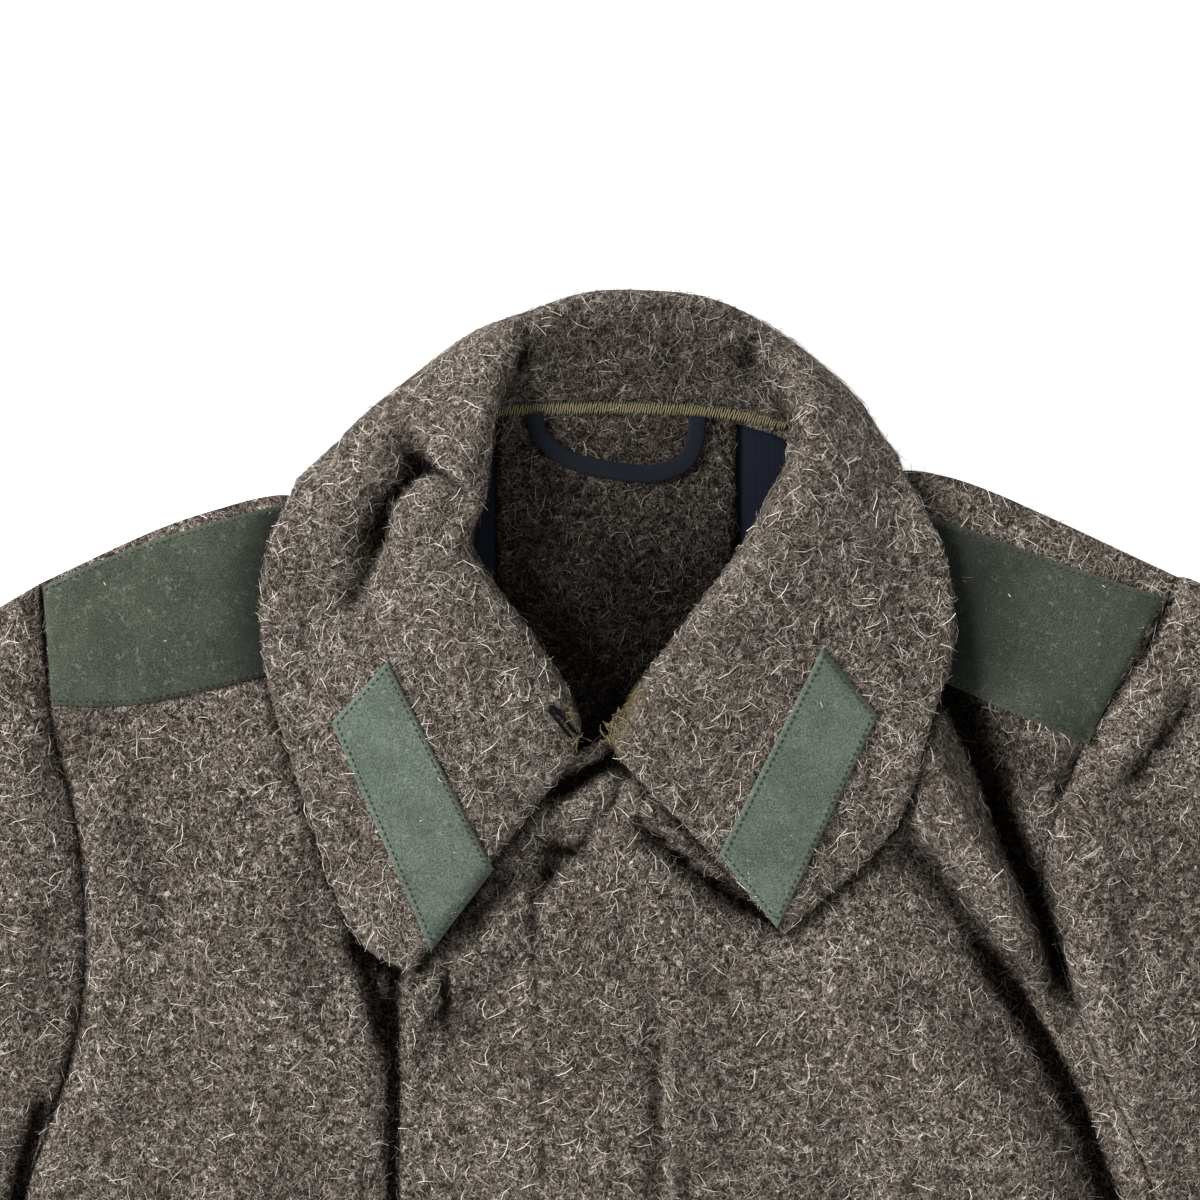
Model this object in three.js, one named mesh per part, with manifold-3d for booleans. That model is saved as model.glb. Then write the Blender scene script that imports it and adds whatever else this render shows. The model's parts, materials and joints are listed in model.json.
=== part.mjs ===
// A wool greatcoat, laid on its back on a flat surface. Units are millimetres.
// +X is the wearer's left, +Y runs toward the collar and +Z is up, toward the chest.
// Plan coordinates start at the middle of the chest. The exported group is moved so
// that its origin is the middle of the underside.

import * as THREE from 'three';
import { mergeVertices } from 'three/addons/utils/BufferGeometryUtils.js';
import Module from 'manifold-3d';

const manifold = await Module();
manifold.setup();

// ---------- driving sizes ----------

const WOOL = 3;
const COTTON = 1;
const FELT = 1.5;
const SEAM_GAP = 0.3;
const LAY_GAP = 0.7;
const LOFT = 2.15;
const LOFT_REACH = 22;
const NECK_RISE = 4;
const NECK_CENTRE = { x: 10, y: 20 };
const NECK_RISE_FAR = 200;
const NECK_RISE_RAMP = 140;
const NECK_RISE_EDGE = 40;
const FLAP_RISE = 3.8;
const FLAP_RISE_END = 58;
const FLAP_RISE_RAMP = 28;
const BACK_LIFT = 7;
const BACK_LIFT_LOW = -50;
const BACK_LIFT_RAMP = 88;
const BACK_MIDDLE = 5;
const BACK_LIFT_SIDE = 235;
const BACK_LIFT_SIDE_RAMP = 105;
const HEM_DROP = 14;
const TROUGH_LIMIT = -1.6;
const COLLAR_LAYER_GAP = 0.3;
const COLLAR_CLEAR = 1.2;
const SLEEVE_EDGE_RADIUS = 6;

// Where the fly laps: the front below turns plain left of its edge, and the one on
// top has no troughs.
const PLAIN_START = -112;
const PLAIN_RAMP = 24;
const LAP_END = 60;
const LAP_RAMP = 20;

// Where the collar's fall lies on the fly's flap and on a shoulder patch.
const FLAP_UNDER_COLLAR = { x: -102, y: -46, ramp: 12 };
const PATCH_UNDER_COLLAR = { x: 96, rampX: 14, y: -70, rampY: 20 };

// A collar section runs through five places: neck seam, rise, turn, middle of the
// fall and edge. The top of its roll lies between the rise and the turn.
const ROLL_TOP = 1.5;
const TURN = 2;
const FALL_MIDDLE = 3;
const FALL_EDGE = 4;
const ROLL_SOFTNESS = 13;
const ROLL_SHARE = 0.42;

// Past the coat's own edge the fall is free to wrap round it.
const WRAP_CLEAR = 3.8;
const WRAP_DROP = 6;
const WRAP_RISE = 1.2;
const WRAP_PLAY = 0.2;

// How finely each wall is divided.
const UNDERARM_ROW = 7;
const LAST_ROW = 12;
const ARM_STEPS = 14;
const SIDE_STEPS = 11;
const BODY_STEPS = ARM_STEPS + SIDE_STEPS;
const FRONT_COLUMNS = 15;
const SHOULDER_COLUMNS = 8;
const NECK_COLUMNS = 5;
const BACK_COLUMNS = 2 * SHOULDER_COLUMNS + NECK_COLUMNS;
const PATCH_STEPS = 10;
const RING_STEPS = 11;
const COLLAR_STEPS = 48;
const SECTION_STEPS = [2, 3, 3, 3];
const LOOP_STEPS = 18;
const FOLD_PIECES = 10;
const SHOULDER_SAMPLES = 24;
const EDGE_SAMPLES = 60;
const END_CROWDING = 0.6;
const UPPER_CROWDING = 1.25;
const TOP_EDGE_ROWS = 5;
const FOLD_FADE = 0.28;
const NUDGE = 0.01;
const COLLAR_NUDGE = 0.15;
const HEIGHT_GRID = 0.05;
const CUT_HEIGHT = 120;
const WELD = 1e-4;

// ---------- cutting tables, in plan ----------

// Each front has a row for each level. The outer edge runs from the shoulder point
// down the armhole to the underarm and on down the side seam to the hem. The inner
// edge runs down the neckline and then down the front edge.
const FRONT_RIGHT = [
  { outerX: -237, outerY: 7, innerX: -62, innerY: 71 },
  { outerX: -235, outerY: -22, innerX: -62, innerY: 40 },
  { outerX: -231, outerY: -56, innerX: -60, innerY: 12 },
  { outerX: -222, outerY: -92, innerX: -46, innerY: -12 },
  { outerX: -218, outerY: -130, innerX: -24, innerY: -42 },
  { outerX: -219, outerY: -170, innerX: -4, innerY: -68 },
  { outerX: -228, outerY: -206, innerX: 20, innerY: -100 },
  { outerX: -241, outerY: -235, innerX: 27, innerY: -140 },
  { outerX: -248, outerY: -272, innerX: 27, innerY: -200 },
  { outerX: -274, outerY: -430, innerX: 27, innerY: -390 },
  { outerX: -308, outerY: -640, innerX: 27, innerY: -640 },
  { outerX: -342, outerY: -870, innerX: 27, innerY: -890 },
  { outerX: -372, outerY: -1095, innerX: 27, innerY: -1112 },
];

const FRONT_LEFT = [
  { outerX: 244, outerY: 10, innerX: 88, innerY: 70 },
  { outerX: 234, outerY: -16, innerX: 82, innerY: 40 },
  { outerX: 217, outerY: -42, innerX: 66, innerY: 12 },
  { outerX: 198, outerY: -74, innerX: 45, innerY: -16 },
  { outerX: 187, outerY: -112, innerX: 22, innerY: -46 },
  { outerX: 196, outerY: -157, innerX: 6, innerY: -65 },
  { outerX: 213, outerY: -202, innerX: -40, innerY: -92 },
  { outerX: 232, outerY: -245, innerX: -84, innerY: -120 },
  { outerX: 241, outerY: -285, innerX: -85, innerY: -170 },
  { outerX: 270, outerY: -440, innerX: -85, innerY: -380 },
  { outerX: 306, outerY: -645, innerX: -85, innerY: -635 },
  { outerX: 340, outerY: -870, innerX: -85, innerY: -885 },
  { outerX: 370, outerY: -1095, innerX: -85, innerY: -1112 },
];

// Shoulder seams from the shoulder point to the neck point. They dip where the
// collar passes over them.
const SHOULDER_RIGHT = [
  { x: -237, y: 7 }, { x: -189, y: 29 }, { x: -155, y: 40 }, { x: -137, y: 44 },
  { x: -126, y: 43.5 }, { x: -114, y: 42 }, { x: -98, y: 49 }, { x: -62, y: 71 },
];

const SHOULDER_LEFT = [
  { x: 244, y: 10 }, { x: 193, y: 33.5 }, { x: 160, y: 47.5 }, { x: 141, y: 53 },
  { x: 129, y: 54.5 }, { x: 119, y: 52.5 }, { x: 107, y: 56.5 }, { x: 88, y: 70 },
];

const BACK_NECK = [
  { x: -62, y: 71 }, { x: -42, y: 80 }, { x: -10, y: 82 },
  { x: 20, y: 82 }, { x: 60, y: 78 }, { x: 88, y: 70 },
];

// Each sleeve has a row for each ring: the outer and the inner edge, its height when
// flat, and how much of the armhole's curve the ring still follows.
const SLEEVE_RIGHT = [
  { outerX: -237, outerY: 7, innerX: -241, innerY: -235, height: 6.9, bow: 1 },
  { outerX: -252, outerY: -2, innerX: -249, innerY: -245, height: 9, bow: 0.8 },
  { outerX: -300, outerY: -31, innerX: -268, innerY: -266, height: 10, bow: 0.35 },
  { outerX: -362, outerY: -80, innerX: -294, innerY: -302, height: 10, bow: 0.1 },
  { outerX: -418, outerY: -146, innerX: -320, innerY: -344, height: 9.5, bow: 0 },
  { outerX: -462, outerY: -224, innerX: -348, innerY: -398, height: 9.5, bow: 0 },
  { outerX: -500, outerY: -312, innerX: -374, innerY: -458, height: 9.5, bow: 0 },
  { outerX: -536, outerY: -406, innerX: -400, innerY: -524, height: 9.5, bow: 0 },
  { outerX: -564, outerY: -494, innerX: -420, innerY: -578, height: 9.5, bow: 0 },
];

const SLEEVE_LEFT = [
  { outerX: 244, outerY: 10, innerX: 232, innerY: -245, height: 6.9, bow: 1 },
  { outerX: 256, outerY: 6, innerX: 241, innerY: -256, height: 11, bow: 0.8 },
  { outerX: 302, outerY: -22, innerX: 262, innerY: -280, height: 12, bow: 0.4 },
  { outerX: 362, outerY: -74, innerX: 288, innerY: -318, height: 11, bow: 0.12 },
  { outerX: 414, outerY: -146, innerX: 312, innerY: -364, height: 10, bow: 0 },
  { outerX: 456, outerY: -230, innerX: 338, innerY: -420, height: 9.5, bow: 0 },
  { outerX: 492, outerY: -322, innerX: 362, innerY: -482, height: 9.5, bow: 0 },
  { outerX: 526, outerY: -418, innerX: 388, innerY: -548, height: 9.5, bow: 0 },
  { outerX: 552, outerY: -506, innerX: 410, innerY: -604, height: 9.5, bow: 0 },
];

// Large folds of the fronts and the sleeves. A fold follows a bent path; near and far
// are its widths on the path's left and right, and a height below zero is a trough.
const FOLDS = [
  // wearer's left chest, between the collar and the armhole
  { fromX: 118, fromY: -34, bendX: 158, bendY: -102, toX: 196, toY: -176, near: 11, far: 17, height: 12 },
  { fromX: 82, fromY: -140, bendX: 152, bendY: -186, toX: 216, toY: -272, near: 13, far: 30, height: 8 },
  { fromX: 172, fromY: -20, bendX: 196, bendY: -72, toX: 184, toY: -128, near: 17, far: 13, height: 6 },
  { fromX: 4, fromY: -78, bendX: 22, bendY: -106, toX: 74, toY: -136, near: 12, far: 12, height: 3.5 },
  { fromX: 42, fromY: -130, bendX: 40, bendY: -220, toX: 52, toY: -420, near: 34, far: 13, height: 5 },
  // wearer's right chest
  { fromX: -208, fromY: -50, bendX: -190, bendY: -130, toX: -212, toY: -220, near: 18, far: 18, height: 3.5 },
  { fromX: -146, fromY: -110, bendX: -156, bendY: -190, toX: -140, toY: -330, near: 30, far: 26, height: 4 },
  // skirt of the coat
  { fromX: -190, fromY: -300, bendX: -214, bendY: -620, toX: -262, toY: -1060, near: 34, far: 30, height: 8 },
  { fromX: -118, fromY: -360, bendX: -140, bendY: -700, toX: -160, toY: -1120, near: 28, far: 34, height: 6 },
  { fromX: -254, fromY: -480, bendX: -290, bendY: -760, toX: -318, toY: -1080, near: 24, far: 22, height: 5 },
  { fromX: 96, fromY: -330, bendX: 112, bendY: -700, toX: 134, toY: -1120, near: 30, far: 34, height: 7 },
  { fromX: 190, fromY: -330, bendX: 204, bendY: -640, toX: 250, toY: -1060, near: 30, far: 34, height: 8 },
  { fromX: 252, fromY: -520, bendX: 286, bendY: -780, toX: 310, toY: -1080, near: 22, far: 24, height: 5 },
  // sleeve on the wearer's left
  { fromX: 204, fromY: -64, bendX: 200, bendY: -140, toX: 246, toY: -262, near: 30, far: 13, height: 8 },
  { fromX: 280, fromY: -60, bendX: 330, bendY: -150, toX: 356, toY: -300, near: 24, far: 24, height: 6 },
  { fromX: 440, fromY: -220, bendX: 408, bendY: -300, toX: 356, toY: -350, near: 16, far: 20, height: 6 },
  { fromX: 470, fromY: -290, bendX: 440, bendY: -360, toX: 384, toY: -420, near: 16, far: 18, height: 5 },
  { fromX: 420, fromY: -400, bendX: 462, bendY: -470, toX: 484, toY: -560, near: 20, far: 20, height: 4 },
  // sleeve on the wearer's right
  { fromX: -246, fromY: -20, bendX: -232, bendY: -110, toX: -252, toY: -220, near: 12, far: 26, height: 5 },
  { fromX: -290, fromY: -60, bendX: -330, bendY: -150, toX: -350, toY: -280, near: 24, far: 24, height: 6 },
  { fromX: -452, fromY: -210, bendX: -414, bendY: -290, toX: -360, toY: -336, near: 20, far: 16, height: 6 },
  { fromX: -478, fromY: -272, bendX: -452, bendY: -350, toX: -396, toY: -400, near: 18, far: 16, height: 5 },
  { fromX: -430, fromY: -390, bendX: -474, bendY: -460, toX: -498, toY: -550, near: 20, far: 20, height: 4 },
];

// The collar has a row for each station from the right leaf's front edge round the
// back of the neck to the left leaf's front edge: the neck seam, the top of the roll,
// the middle of the fall and its outer edge. Where under is 1 the fall is turned under
// and lies beneath the back.
const COLLAR = [
  { neckX: -13, neckY: -47.5, neckZ: 11, rollX: -8, rollY: -61, rollZ: 26,
    midX: -42, midY: -105, midZ: 22, edgeX: -74, edgeY: -150, edgeZ: 16, under: 0 },
  { neckX: -22.5, neckY: -34, neckZ: 11.2, rollX: -10, rollY: -44, rollZ: 32,
    midX: -61, midY: -84, midZ: 24, edgeX: -109, edgeY: -135, edgeZ: 13, under: 0 },
  { neckX: -36, neckY: -20, neckZ: 12.4, rollX: -21, rollY: -22, rollZ: 36,
    midX: -75, midY: -57, midZ: 24, edgeX: -124, edgeY: -85, edgeZ: 13, under: 0 },
  { neckX: -50, neckY: 2, neckZ: 14.5, rollX: -41, rollY: 4, rollZ: 39,
    midX: -91, midY: -19, midZ: 25, edgeX: -139, edgeY: -35, edgeZ: 14, under: 0 },
  { neckX: -57.5, neckY: 22, neckZ: 16.5, rollX: -53, rollY: 22, rollZ: 41,
    midX: -99, midY: 8, midZ: 28, edgeX: -142, edgeY: -4, edgeZ: 16, under: 0 },
  { neckX: -58.5, neckY: 42, neckZ: 16.5, rollX: -45, rollY: 42, rollZ: 42,
    midX: -98, midY: 32, midZ: 29, edgeX: -139, edgeY: 20, edgeZ: 18, under: 0 },
  { neckX: -58.5, neckY: 55, neckZ: 15, rollX: -43, rollY: 56, rollZ: 41,
    midX: -98, midY: 50, midZ: 27, edgeX: -133, edgeY: 36, edgeZ: 19, under: 0 },
  { neckX: -58, neckY: 64, neckZ: 14, rollX: -42, rollY: 67, rollZ: 38,
    midX: -98, midY: 62, midZ: 21, edgeX: -126, edgeY: 49.5, edgeZ: 11, under: 0.5 },
  { neckX: -54, neckY: 73.5, neckZ: 12.6, rollX: -41, rollY: 80, rollZ: 34,
    midX: -97, midY: 74, midZ: 14, edgeX: -117, edgeY: 53, edgeZ: 4.5, under: 1 },
  { neckX: -47, neckY: 79.8, neckZ: 11, rollX: -39, rollY: 96, rollZ: 29,
    midX: -84, midY: 87, midZ: 8, edgeX: -98, edgeY: 49, edgeZ: 3.2, under: 1 },
  { neckX: -33, neckY: 82.3, neckZ: 10, rollX: -33, rollY: 118, rollZ: 24,
    midX: -56, midY: 103, midZ: 4, edgeX: -62, edgeY: 43, edgeZ: 3.2, under: 1 },
  { neckX: -8, neckY: 82.5, neckZ: 10, rollX: -8, rollY: 133, rollZ: 20,
    midX: -16, midY: 110, midZ: 3.5, edgeX: -20, edgeY: 40, edgeZ: 3.2, under: 1 },
  { neckX: 20, neckY: 82.5, neckZ: 10, rollX: 20, rollY: 135, rollZ: 20,
    midX: 20, midY: 110, midZ: 3.5, edgeX: 20, edgeY: 40, edgeZ: 3.2, under: 1 },
  { neckX: 46, neckY: 80.6, neckZ: 10, rollX: 46, rollY: 131, rollZ: 21,
    midX: 50, midY: 108, midZ: 3.6, edgeX: 54, edgeY: 41, edgeZ: 3.2, under: 1 },
  { neckX: 64, neckY: 77.9, neckZ: 10.2, rollX: 66, rollY: 119, rollZ: 24,
    midX: 76, midY: 101, midZ: 4, edgeX: 78, edgeY: 43, edgeZ: 3.2, under: 1 },
  { neckX: 76, neckY: 75.6, neckZ: 11, rollX: 78, rollY: 101, rollZ: 29,
    midX: 100, midY: 87, midZ: 7.5, edgeX: 100, edgeY: 50, edgeZ: 3.2, under: 1 },
  { neckX: 82.5, neckY: 73.2, neckZ: 12.6, rollX: 82, rollY: 88, rollZ: 33,
    midX: 110, midY: 78, midZ: 12, edgeX: 113, edgeY: 60, edgeZ: 4.5, under: 1 },
  { neckX: 84.5, neckY: 69, neckZ: 14, rollX: 83, rollY: 79, rollZ: 36,
    midX: 112, midY: 70, midZ: 16, edgeX: 121, edgeY: 62, edgeZ: 10, under: 0.5 },
  { neckX: 83, neckY: 63, neckZ: 14.6, rollX: 83, rollY: 70, rollZ: 38,
    midX: 113, midY: 62, midZ: 21, edgeX: 129, edgeY: 49, edgeZ: 19, under: 0 },
  { neckX: 81, neckY: 54, neckZ: 15.4, rollX: 81, rollY: 58, rollZ: 40,
    midX: 114, midY: 51, midZ: 25, edgeX: 137, edgeY: 34, edgeZ: 18, under: 0 },
  { neckX: 75.5, neckY: 40, neckZ: 16.5, rollX: 71, rollY: 42, rollZ: 41,
    midX: 111, midY: 34, midZ: 27, edgeX: 145, edgeY: 14, edgeZ: 17, under: 0 },
  { neckX: 63, neckY: 15, neckZ: 16, rollX: 55, rollY: 18, rollZ: 40,
    midX: 103, midY: 2, midZ: 26, edgeX: 148, edgeY: -20, edgeZ: 15, under: 0 },
  { neckX: 43, neckY: -11, neckZ: 13.5, rollX: 34, rollY: -12, rollZ: 37,
    midX: 86, midY: -36, midZ: 24, edgeX: 136, edgeY: -58, edgeZ: 15, under: 0 },
  { neckX: 22, neckY: -38, neckZ: 11.2, rollX: 15, rollY: -38, rollZ: 32,
    midX: 64, midY: -70, midZ: 22, edgeX: 122, edgeY: -98, edgeZ: 14, under: 0 },
  { neckX: 9, neckY: -54, neckZ: 11, rollX: 3, rollY: -61, rollZ: 26,
    midX: 41, midY: -100, midZ: 20, edgeX: 77, edgeY: -140, edgeZ: 13, under: 0 },
];

// The collar's crumples, in the same plan, which lift or sink its fall.
const COLLAR_FOLDS = [
  { fromX: -92, fromY: 76, bendX: -66, bendY: 40, toX: -46, toY: 26, near: 10, far: 13, height: -5 },
  { fromX: -62, fromY: 58, bendX: -92, bendY: 18, toX: -112, toY: -22, near: 14, far: 12, height: -6 },
  { fromX: -92, fromY: 44, bendX: -76, bendY: 54, toX: -48, toY: 44, near: 12, far: 12, height: 4 },
  { fromX: 70, fromY: 56, bendX: 104, bendY: 22, toX: 124, toY: -20, near: 20, far: 20, height: 2.5 },
];

const TAB_RIGHT = [
  { x: -88.2, y: -25.2 }, { x: -112.1, y: -51.2 }, { x: -70.6, y: -147 }, { x: -44.5, y: -112.6 },
];
const TAB_LEFT = [
  { x: 92.4, y: -19.7 }, { x: 49.6, y: -106.3 }, { x: 74.3, y: -137.8 }, { x: 115.9, y: -47.9 },
];
const PATCH_RIGHT = [
  { x: -235.5, y: 6 }, { x: -230.5, y: -45 }, { x: -118, y: -30 }, { x: -106, y: 36 },
  { x: -131, y: 40 }, { x: -189, y: 25 },
];
const PATCH_LEFT = [
  { x: 235, y: 0 }, { x: 112, y: 43 }, { x: 120, y: -24 }, { x: 203, y: -60 },
];

// The strip and the linings have rows like the fronts, and a top edge of their own.
const FACING = [
  { outerX: -43, outerY: 78, innerX: 57, innerY: 77 },
  { outerX: -43, outerY: 20, innerX: 57, innerY: 20 },
  { outerX: -43, outerY: -50, innerX: 57, innerY: -50 },
  { outerX: -43, outerY: -115, innerX: 57, innerY: -115 },
];
const FACING_TOP = [{ x: -43, y: 78 }, { x: -10, y: 81.5 }, { x: 20, y: 81.5 }, { x: 57, y: 77.6 }];

const LINING_RIGHT = [
  { outerX: -150, outerY: 12, innerX: -43.4, innerY: 62 },
  { outerX: -166, outerY: -40, innerX: -43.4, innerY: 0 },
  { outerX: -168, outerY: -120, innerX: -43.4, innerY: -100 },
  { outerX: -170, outerY: -200, innerX: -43.4, innerY: -200 },
];
const LINING_RIGHT_TOP = [{ x: -150, y: 12 }, { x: -96, y: 33 }, { x: -43.4, y: 62 }];

const LINING_LEFT = [
  { outerX: 156, outerY: 16, innerX: 57.4, innerY: 74 },
  { outerX: 160, outerY: -40, innerX: 57.4, innerY: 0 },
  { outerX: 160, outerY: -120, innerX: 57.4, innerY: -100 },
  { outerX: 162, outerY: -200, innerX: 57.4, innerY: -200 },
];
const LINING_LEFT_TOP = [
  { x: 156, y: 16 }, { x: 120, y: 31 }, { x: 93, y: 46 }, { x: 80, y: 66 }, { x: 57.4, y: 74 },
];

const LOOP_WIDTH = 7.5;
const LOOP_THICKNESS = 2.4;
const LOOP_PATH = [
  { x: -28, y: 78 }, { x: -24, y: 67.5 }, { x: -12, y: 58.5 }, { x: 5, y: 54.5 },
  { x: 22, y: 53 }, { x: 35, y: 57.5 }, { x: 40, y: 67 }, { x: 41, y: 77 },
];

const HOOK_CENTRE = { x: -15.5, y: -50.5 };
const HOOK_LENGTH = 14;
const HOOK_WIDTH = 3.4;
const HOOK_WIRE = 1.2;
const HOOK_TURN = -0.9;
const HOOK_LEG_POINTS = 4;
const HOOK_BEND_POINTS = 6;
const HOOK_STEPS = 14;

// The stretches of the collar, from its right to its left front edge, as shares.
const TAB_RIGHT_SPAN = { from: 0, to: 0.21 };
const TAB_LEFT_SPAN = { from: 0.8, to: 1 };
const HOOK_SPAN = { from: 0, to: 0.1 };

const COLOURS = {
  wool: { color: 0x5a4f46, roughness: 0.95, metalness: 0 },
  cotton: { color: 0x1a222e, roughness: 0.8, metalness: 0 },
  felt: { color: 0x5a6b5a, roughness: 0.95, metalness: 0 },
  twill: { color: 0x161c26, roughness: 0.7, metalness: 0 },
  metal: { color: 0x0a0a0c, roughness: 0.3, metalness: 0.6 },
};

// ---------- curves ----------

const clamp = (value, low, high) => Math.min(high, Math.max(low, value));
const mix = (a, b, t) => a + (b - a) * t;

function smooth(t) {
  const s = clamp(t, 0, 1);
  return s * s * (3 - 2 * s);
}

function catmullRom(p0, p1, p2, p3, t) {
  const v0 = (p2 - p0) / 2;
  const v1 = (p3 - p1) / 2;
  return ((2 * p1 - 2 * p2 + v0 + v1) * t - 3 * p1 + 3 * p2 - 2 * v0 - v1) * t * t + v0 * t + p1;
}

// A smooth curve through a table's rows: every named column at a fractional row.
function rowAt(table, index) {
  const last = table.length - 1;
  const start = clamp(Math.floor(index), 0, last - 1);
  const row = (k) => table[clamp(k, 0, last)];
  const result = {};
  for (const key of Object.keys(table[0])) {
    const values = [start - 1, start, start + 1, start + 2].map((k) => row(k)[key]);
    result[key] = catmullRom(...values, index - start);
  }
  return result;
}

const curveAt = (points, t) => rowAt(points, t * (points.length - 1));

// Steps from 0 to 1 that lie closer together at both ends.
function easedStep(step, count) {
  const even = step / count;
  return even - END_CROWDING * Math.sin(2 * Math.PI * even) / (2 * Math.PI);
}

// ---------- how the layers lie ----------

// The coat's edge from a neck point over the shoulder and down the side to the hem.
function edgeOf(table, shoulder) {
  const points = [];
  for (let k = SHOULDER_SAMPLES; k > 0; k -= 1) {
    points.push(curveAt(shoulder, k / SHOULDER_SAMPLES));
  }
  for (let k = 0; k <= EDGE_SAMPLES; k += 1) {
    const row = rowAt(table, LAST_ROW * k / EDGE_SAMPLES);
    points.push({ x: row.outerX, y: row.outerY });
  }
  return points;
}

const EDGE_RIGHT = edgeOf(FRONT_RIGHT, SHOULDER_RIGHT);
const EDGE_LEFT = edgeOf(FRONT_LEFT, SHOULDER_LEFT);

function distanceToSegment(x, y, a, b) {
  const dx = b.x - a.x;
  const dy = b.y - a.y;
  const t = clamp(((x - a.x) * dx + (y - a.y) * dy) / (dx * dx + dy * dy), 0, 1);
  const sx = x - a.x - t * dx;
  const sy = y - a.y - t * dy;
  return { distance: Math.hypot(sx, sy), side: Math.sign(dx * sy - dy * sx), t };
}

// How far a plan point lies inside the coat's shoulder, armhole and side edges. It is
// below zero outside them.
function edgeDistance(x, y) {
  const onRight = x < (EDGE_RIGHT[0].x + EDGE_LEFT[0].x) / 2;
  const edge = onRight ? EDGE_RIGHT : EDGE_LEFT;
  let nearest = { distance: Infinity, side: 1 };
  for (let k = 1; k < edge.length; k += 1) {
    const hit = distanceToSegment(x, y, edge[k - 1], edge[k]);
    if (hit.distance < nearest.distance) {
      nearest = hit;
    }
  }
  return nearest.distance * nearest.side * (onRight ? 1 : -1);
}

function foldHeight(table, x, y) {
  let height = 0;
  for (const fold of table) {
    const from = new THREE.Vector2(fold.fromX, fold.fromY);
    const bend = new THREE.Vector2(fold.bendX, fold.bendY);
    const to = new THREE.Vector2(fold.toX, fold.toY);
    const path = new THREE.QuadraticBezierCurve(from, bend, to).getPoints(FOLD_PIECES);
    let best = { distance: Infinity, side: 1, along: 0 };
    for (let k = 1; k <= FOLD_PIECES; k += 1) {
      const hit = distanceToSegment(x, y, path[k - 1], path[k]);
      if (hit.distance < best.distance) {
        best = { distance: hit.distance, side: hit.side, along: (k - 1 + hit.t) / FOLD_PIECES };
      }
    }
    const width = best.side > 0 ? fold.near : fold.far;
    const fade = smooth(best.along / FOLD_FADE) * smooth((1 - best.along) / FOLD_FADE);
    height += fold.height * fade * Math.exp(-((best.distance / width) ** 2));
  }
  return height;
}

// The back rests on the surface, and rises over the collar's fall at the neck.
function backTop(x, y) {
  const sides = smooth((BACK_LIFT_SIDE - Math.abs(x - BACK_MIDDLE)) / BACK_LIFT_SIDE_RAMP);
  return WOOL + BACK_LIFT * smooth((y - BACK_LIFT_LOW) / BACK_LIFT_RAMP) * sides;
}

// The fronts lie on the back: close to it at the seams, with some air inside.
function frontBase(x, y) {
  const edge = edgeDistance(x, y);
  const fromNeck = Math.hypot(x - NECK_CENTRE.x, y - NECK_CENTRE.y);
  const neck = NECK_RISE * smooth((NECK_RISE_FAR - fromNeck) / NECK_RISE_RAMP);
  const loft = LOFT * smooth(edge / LOFT_REACH) + neck * smooth(edge / NECK_RISE_EDGE);
  return backTop(x, y) + LAY_GAP + WOOL + loft;
}

const flapRise = (x) => FLAP_RISE * smooth((FLAP_RISE_END - x) / FLAP_RISE_RAMP);

// Where the fly laps, the front below stays plain and the one on top takes the folds.
function frontRightTop(x, y) {
  const plain = smooth((x - PLAIN_START) / PLAIN_RAMP);
  return frontBase(x, y) + Math.max(foldHeight(FOLDS, x, y), TROUGH_LIMIT) * (1 - plain);
}

function frontLeftTop(x, y) {
  const lapped = smooth((LAP_END - x) / LAP_RAMP);
  const fold = foldHeight(FOLDS, x, y);
  return frontBase(x, y) + flapRise(x) + Math.max(fold, mix(TROUGH_LIMIT, 0, lapped));
}

// The height of the topmost cloth that the collar's fall lies on.
function supportTop(x, y) {
  const overFlap = FLAP_UNDER_COLLAR;
  const overPatch = PATCH_UNDER_COLLAR;
  const flap = smooth((x - overFlap.x) / overFlap.ramp) * smooth((overFlap.y - y) / overFlap.ramp);
  const besideNeck = smooth((Math.abs(x) - overPatch.x) / overPatch.rampX);
  const onPatch = besideNeck * smooth((y - overPatch.y) / overPatch.rampY);
  const fold = Math.max(foldHeight(FOLDS, x, y), 0);
  const rise = x < 0 ? FLAP_RISE * flap : flapRise(x);
  return frontBase(x, y) + fold + rise + (FELT + 2 * SEAM_GAP) * onPatch;
}

// ---------- closed walls ----------

function closedMesh(positions, index) {
  const geometry = new THREE.BufferGeometry();
  geometry.setAttribute('position', new THREE.Float32BufferAttribute(positions, 3));
  let volume = 0;
  const a = new THREE.Vector3();
  const b = new THREE.Vector3();
  const c = new THREE.Vector3();
  for (let k = 0; k < index.length; k += 3) {
    a.fromArray(positions, 3 * index[k]);
    b.fromArray(positions, 3 * index[k + 1]);
    c.fromArray(positions, 3 * index[k + 2]);
    volume += a.dot(b.cross(c));
  }
  if (volume < 0) {
    index.reverse();
  }
  geometry.setIndex(index);
  return geometry;
}

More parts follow.
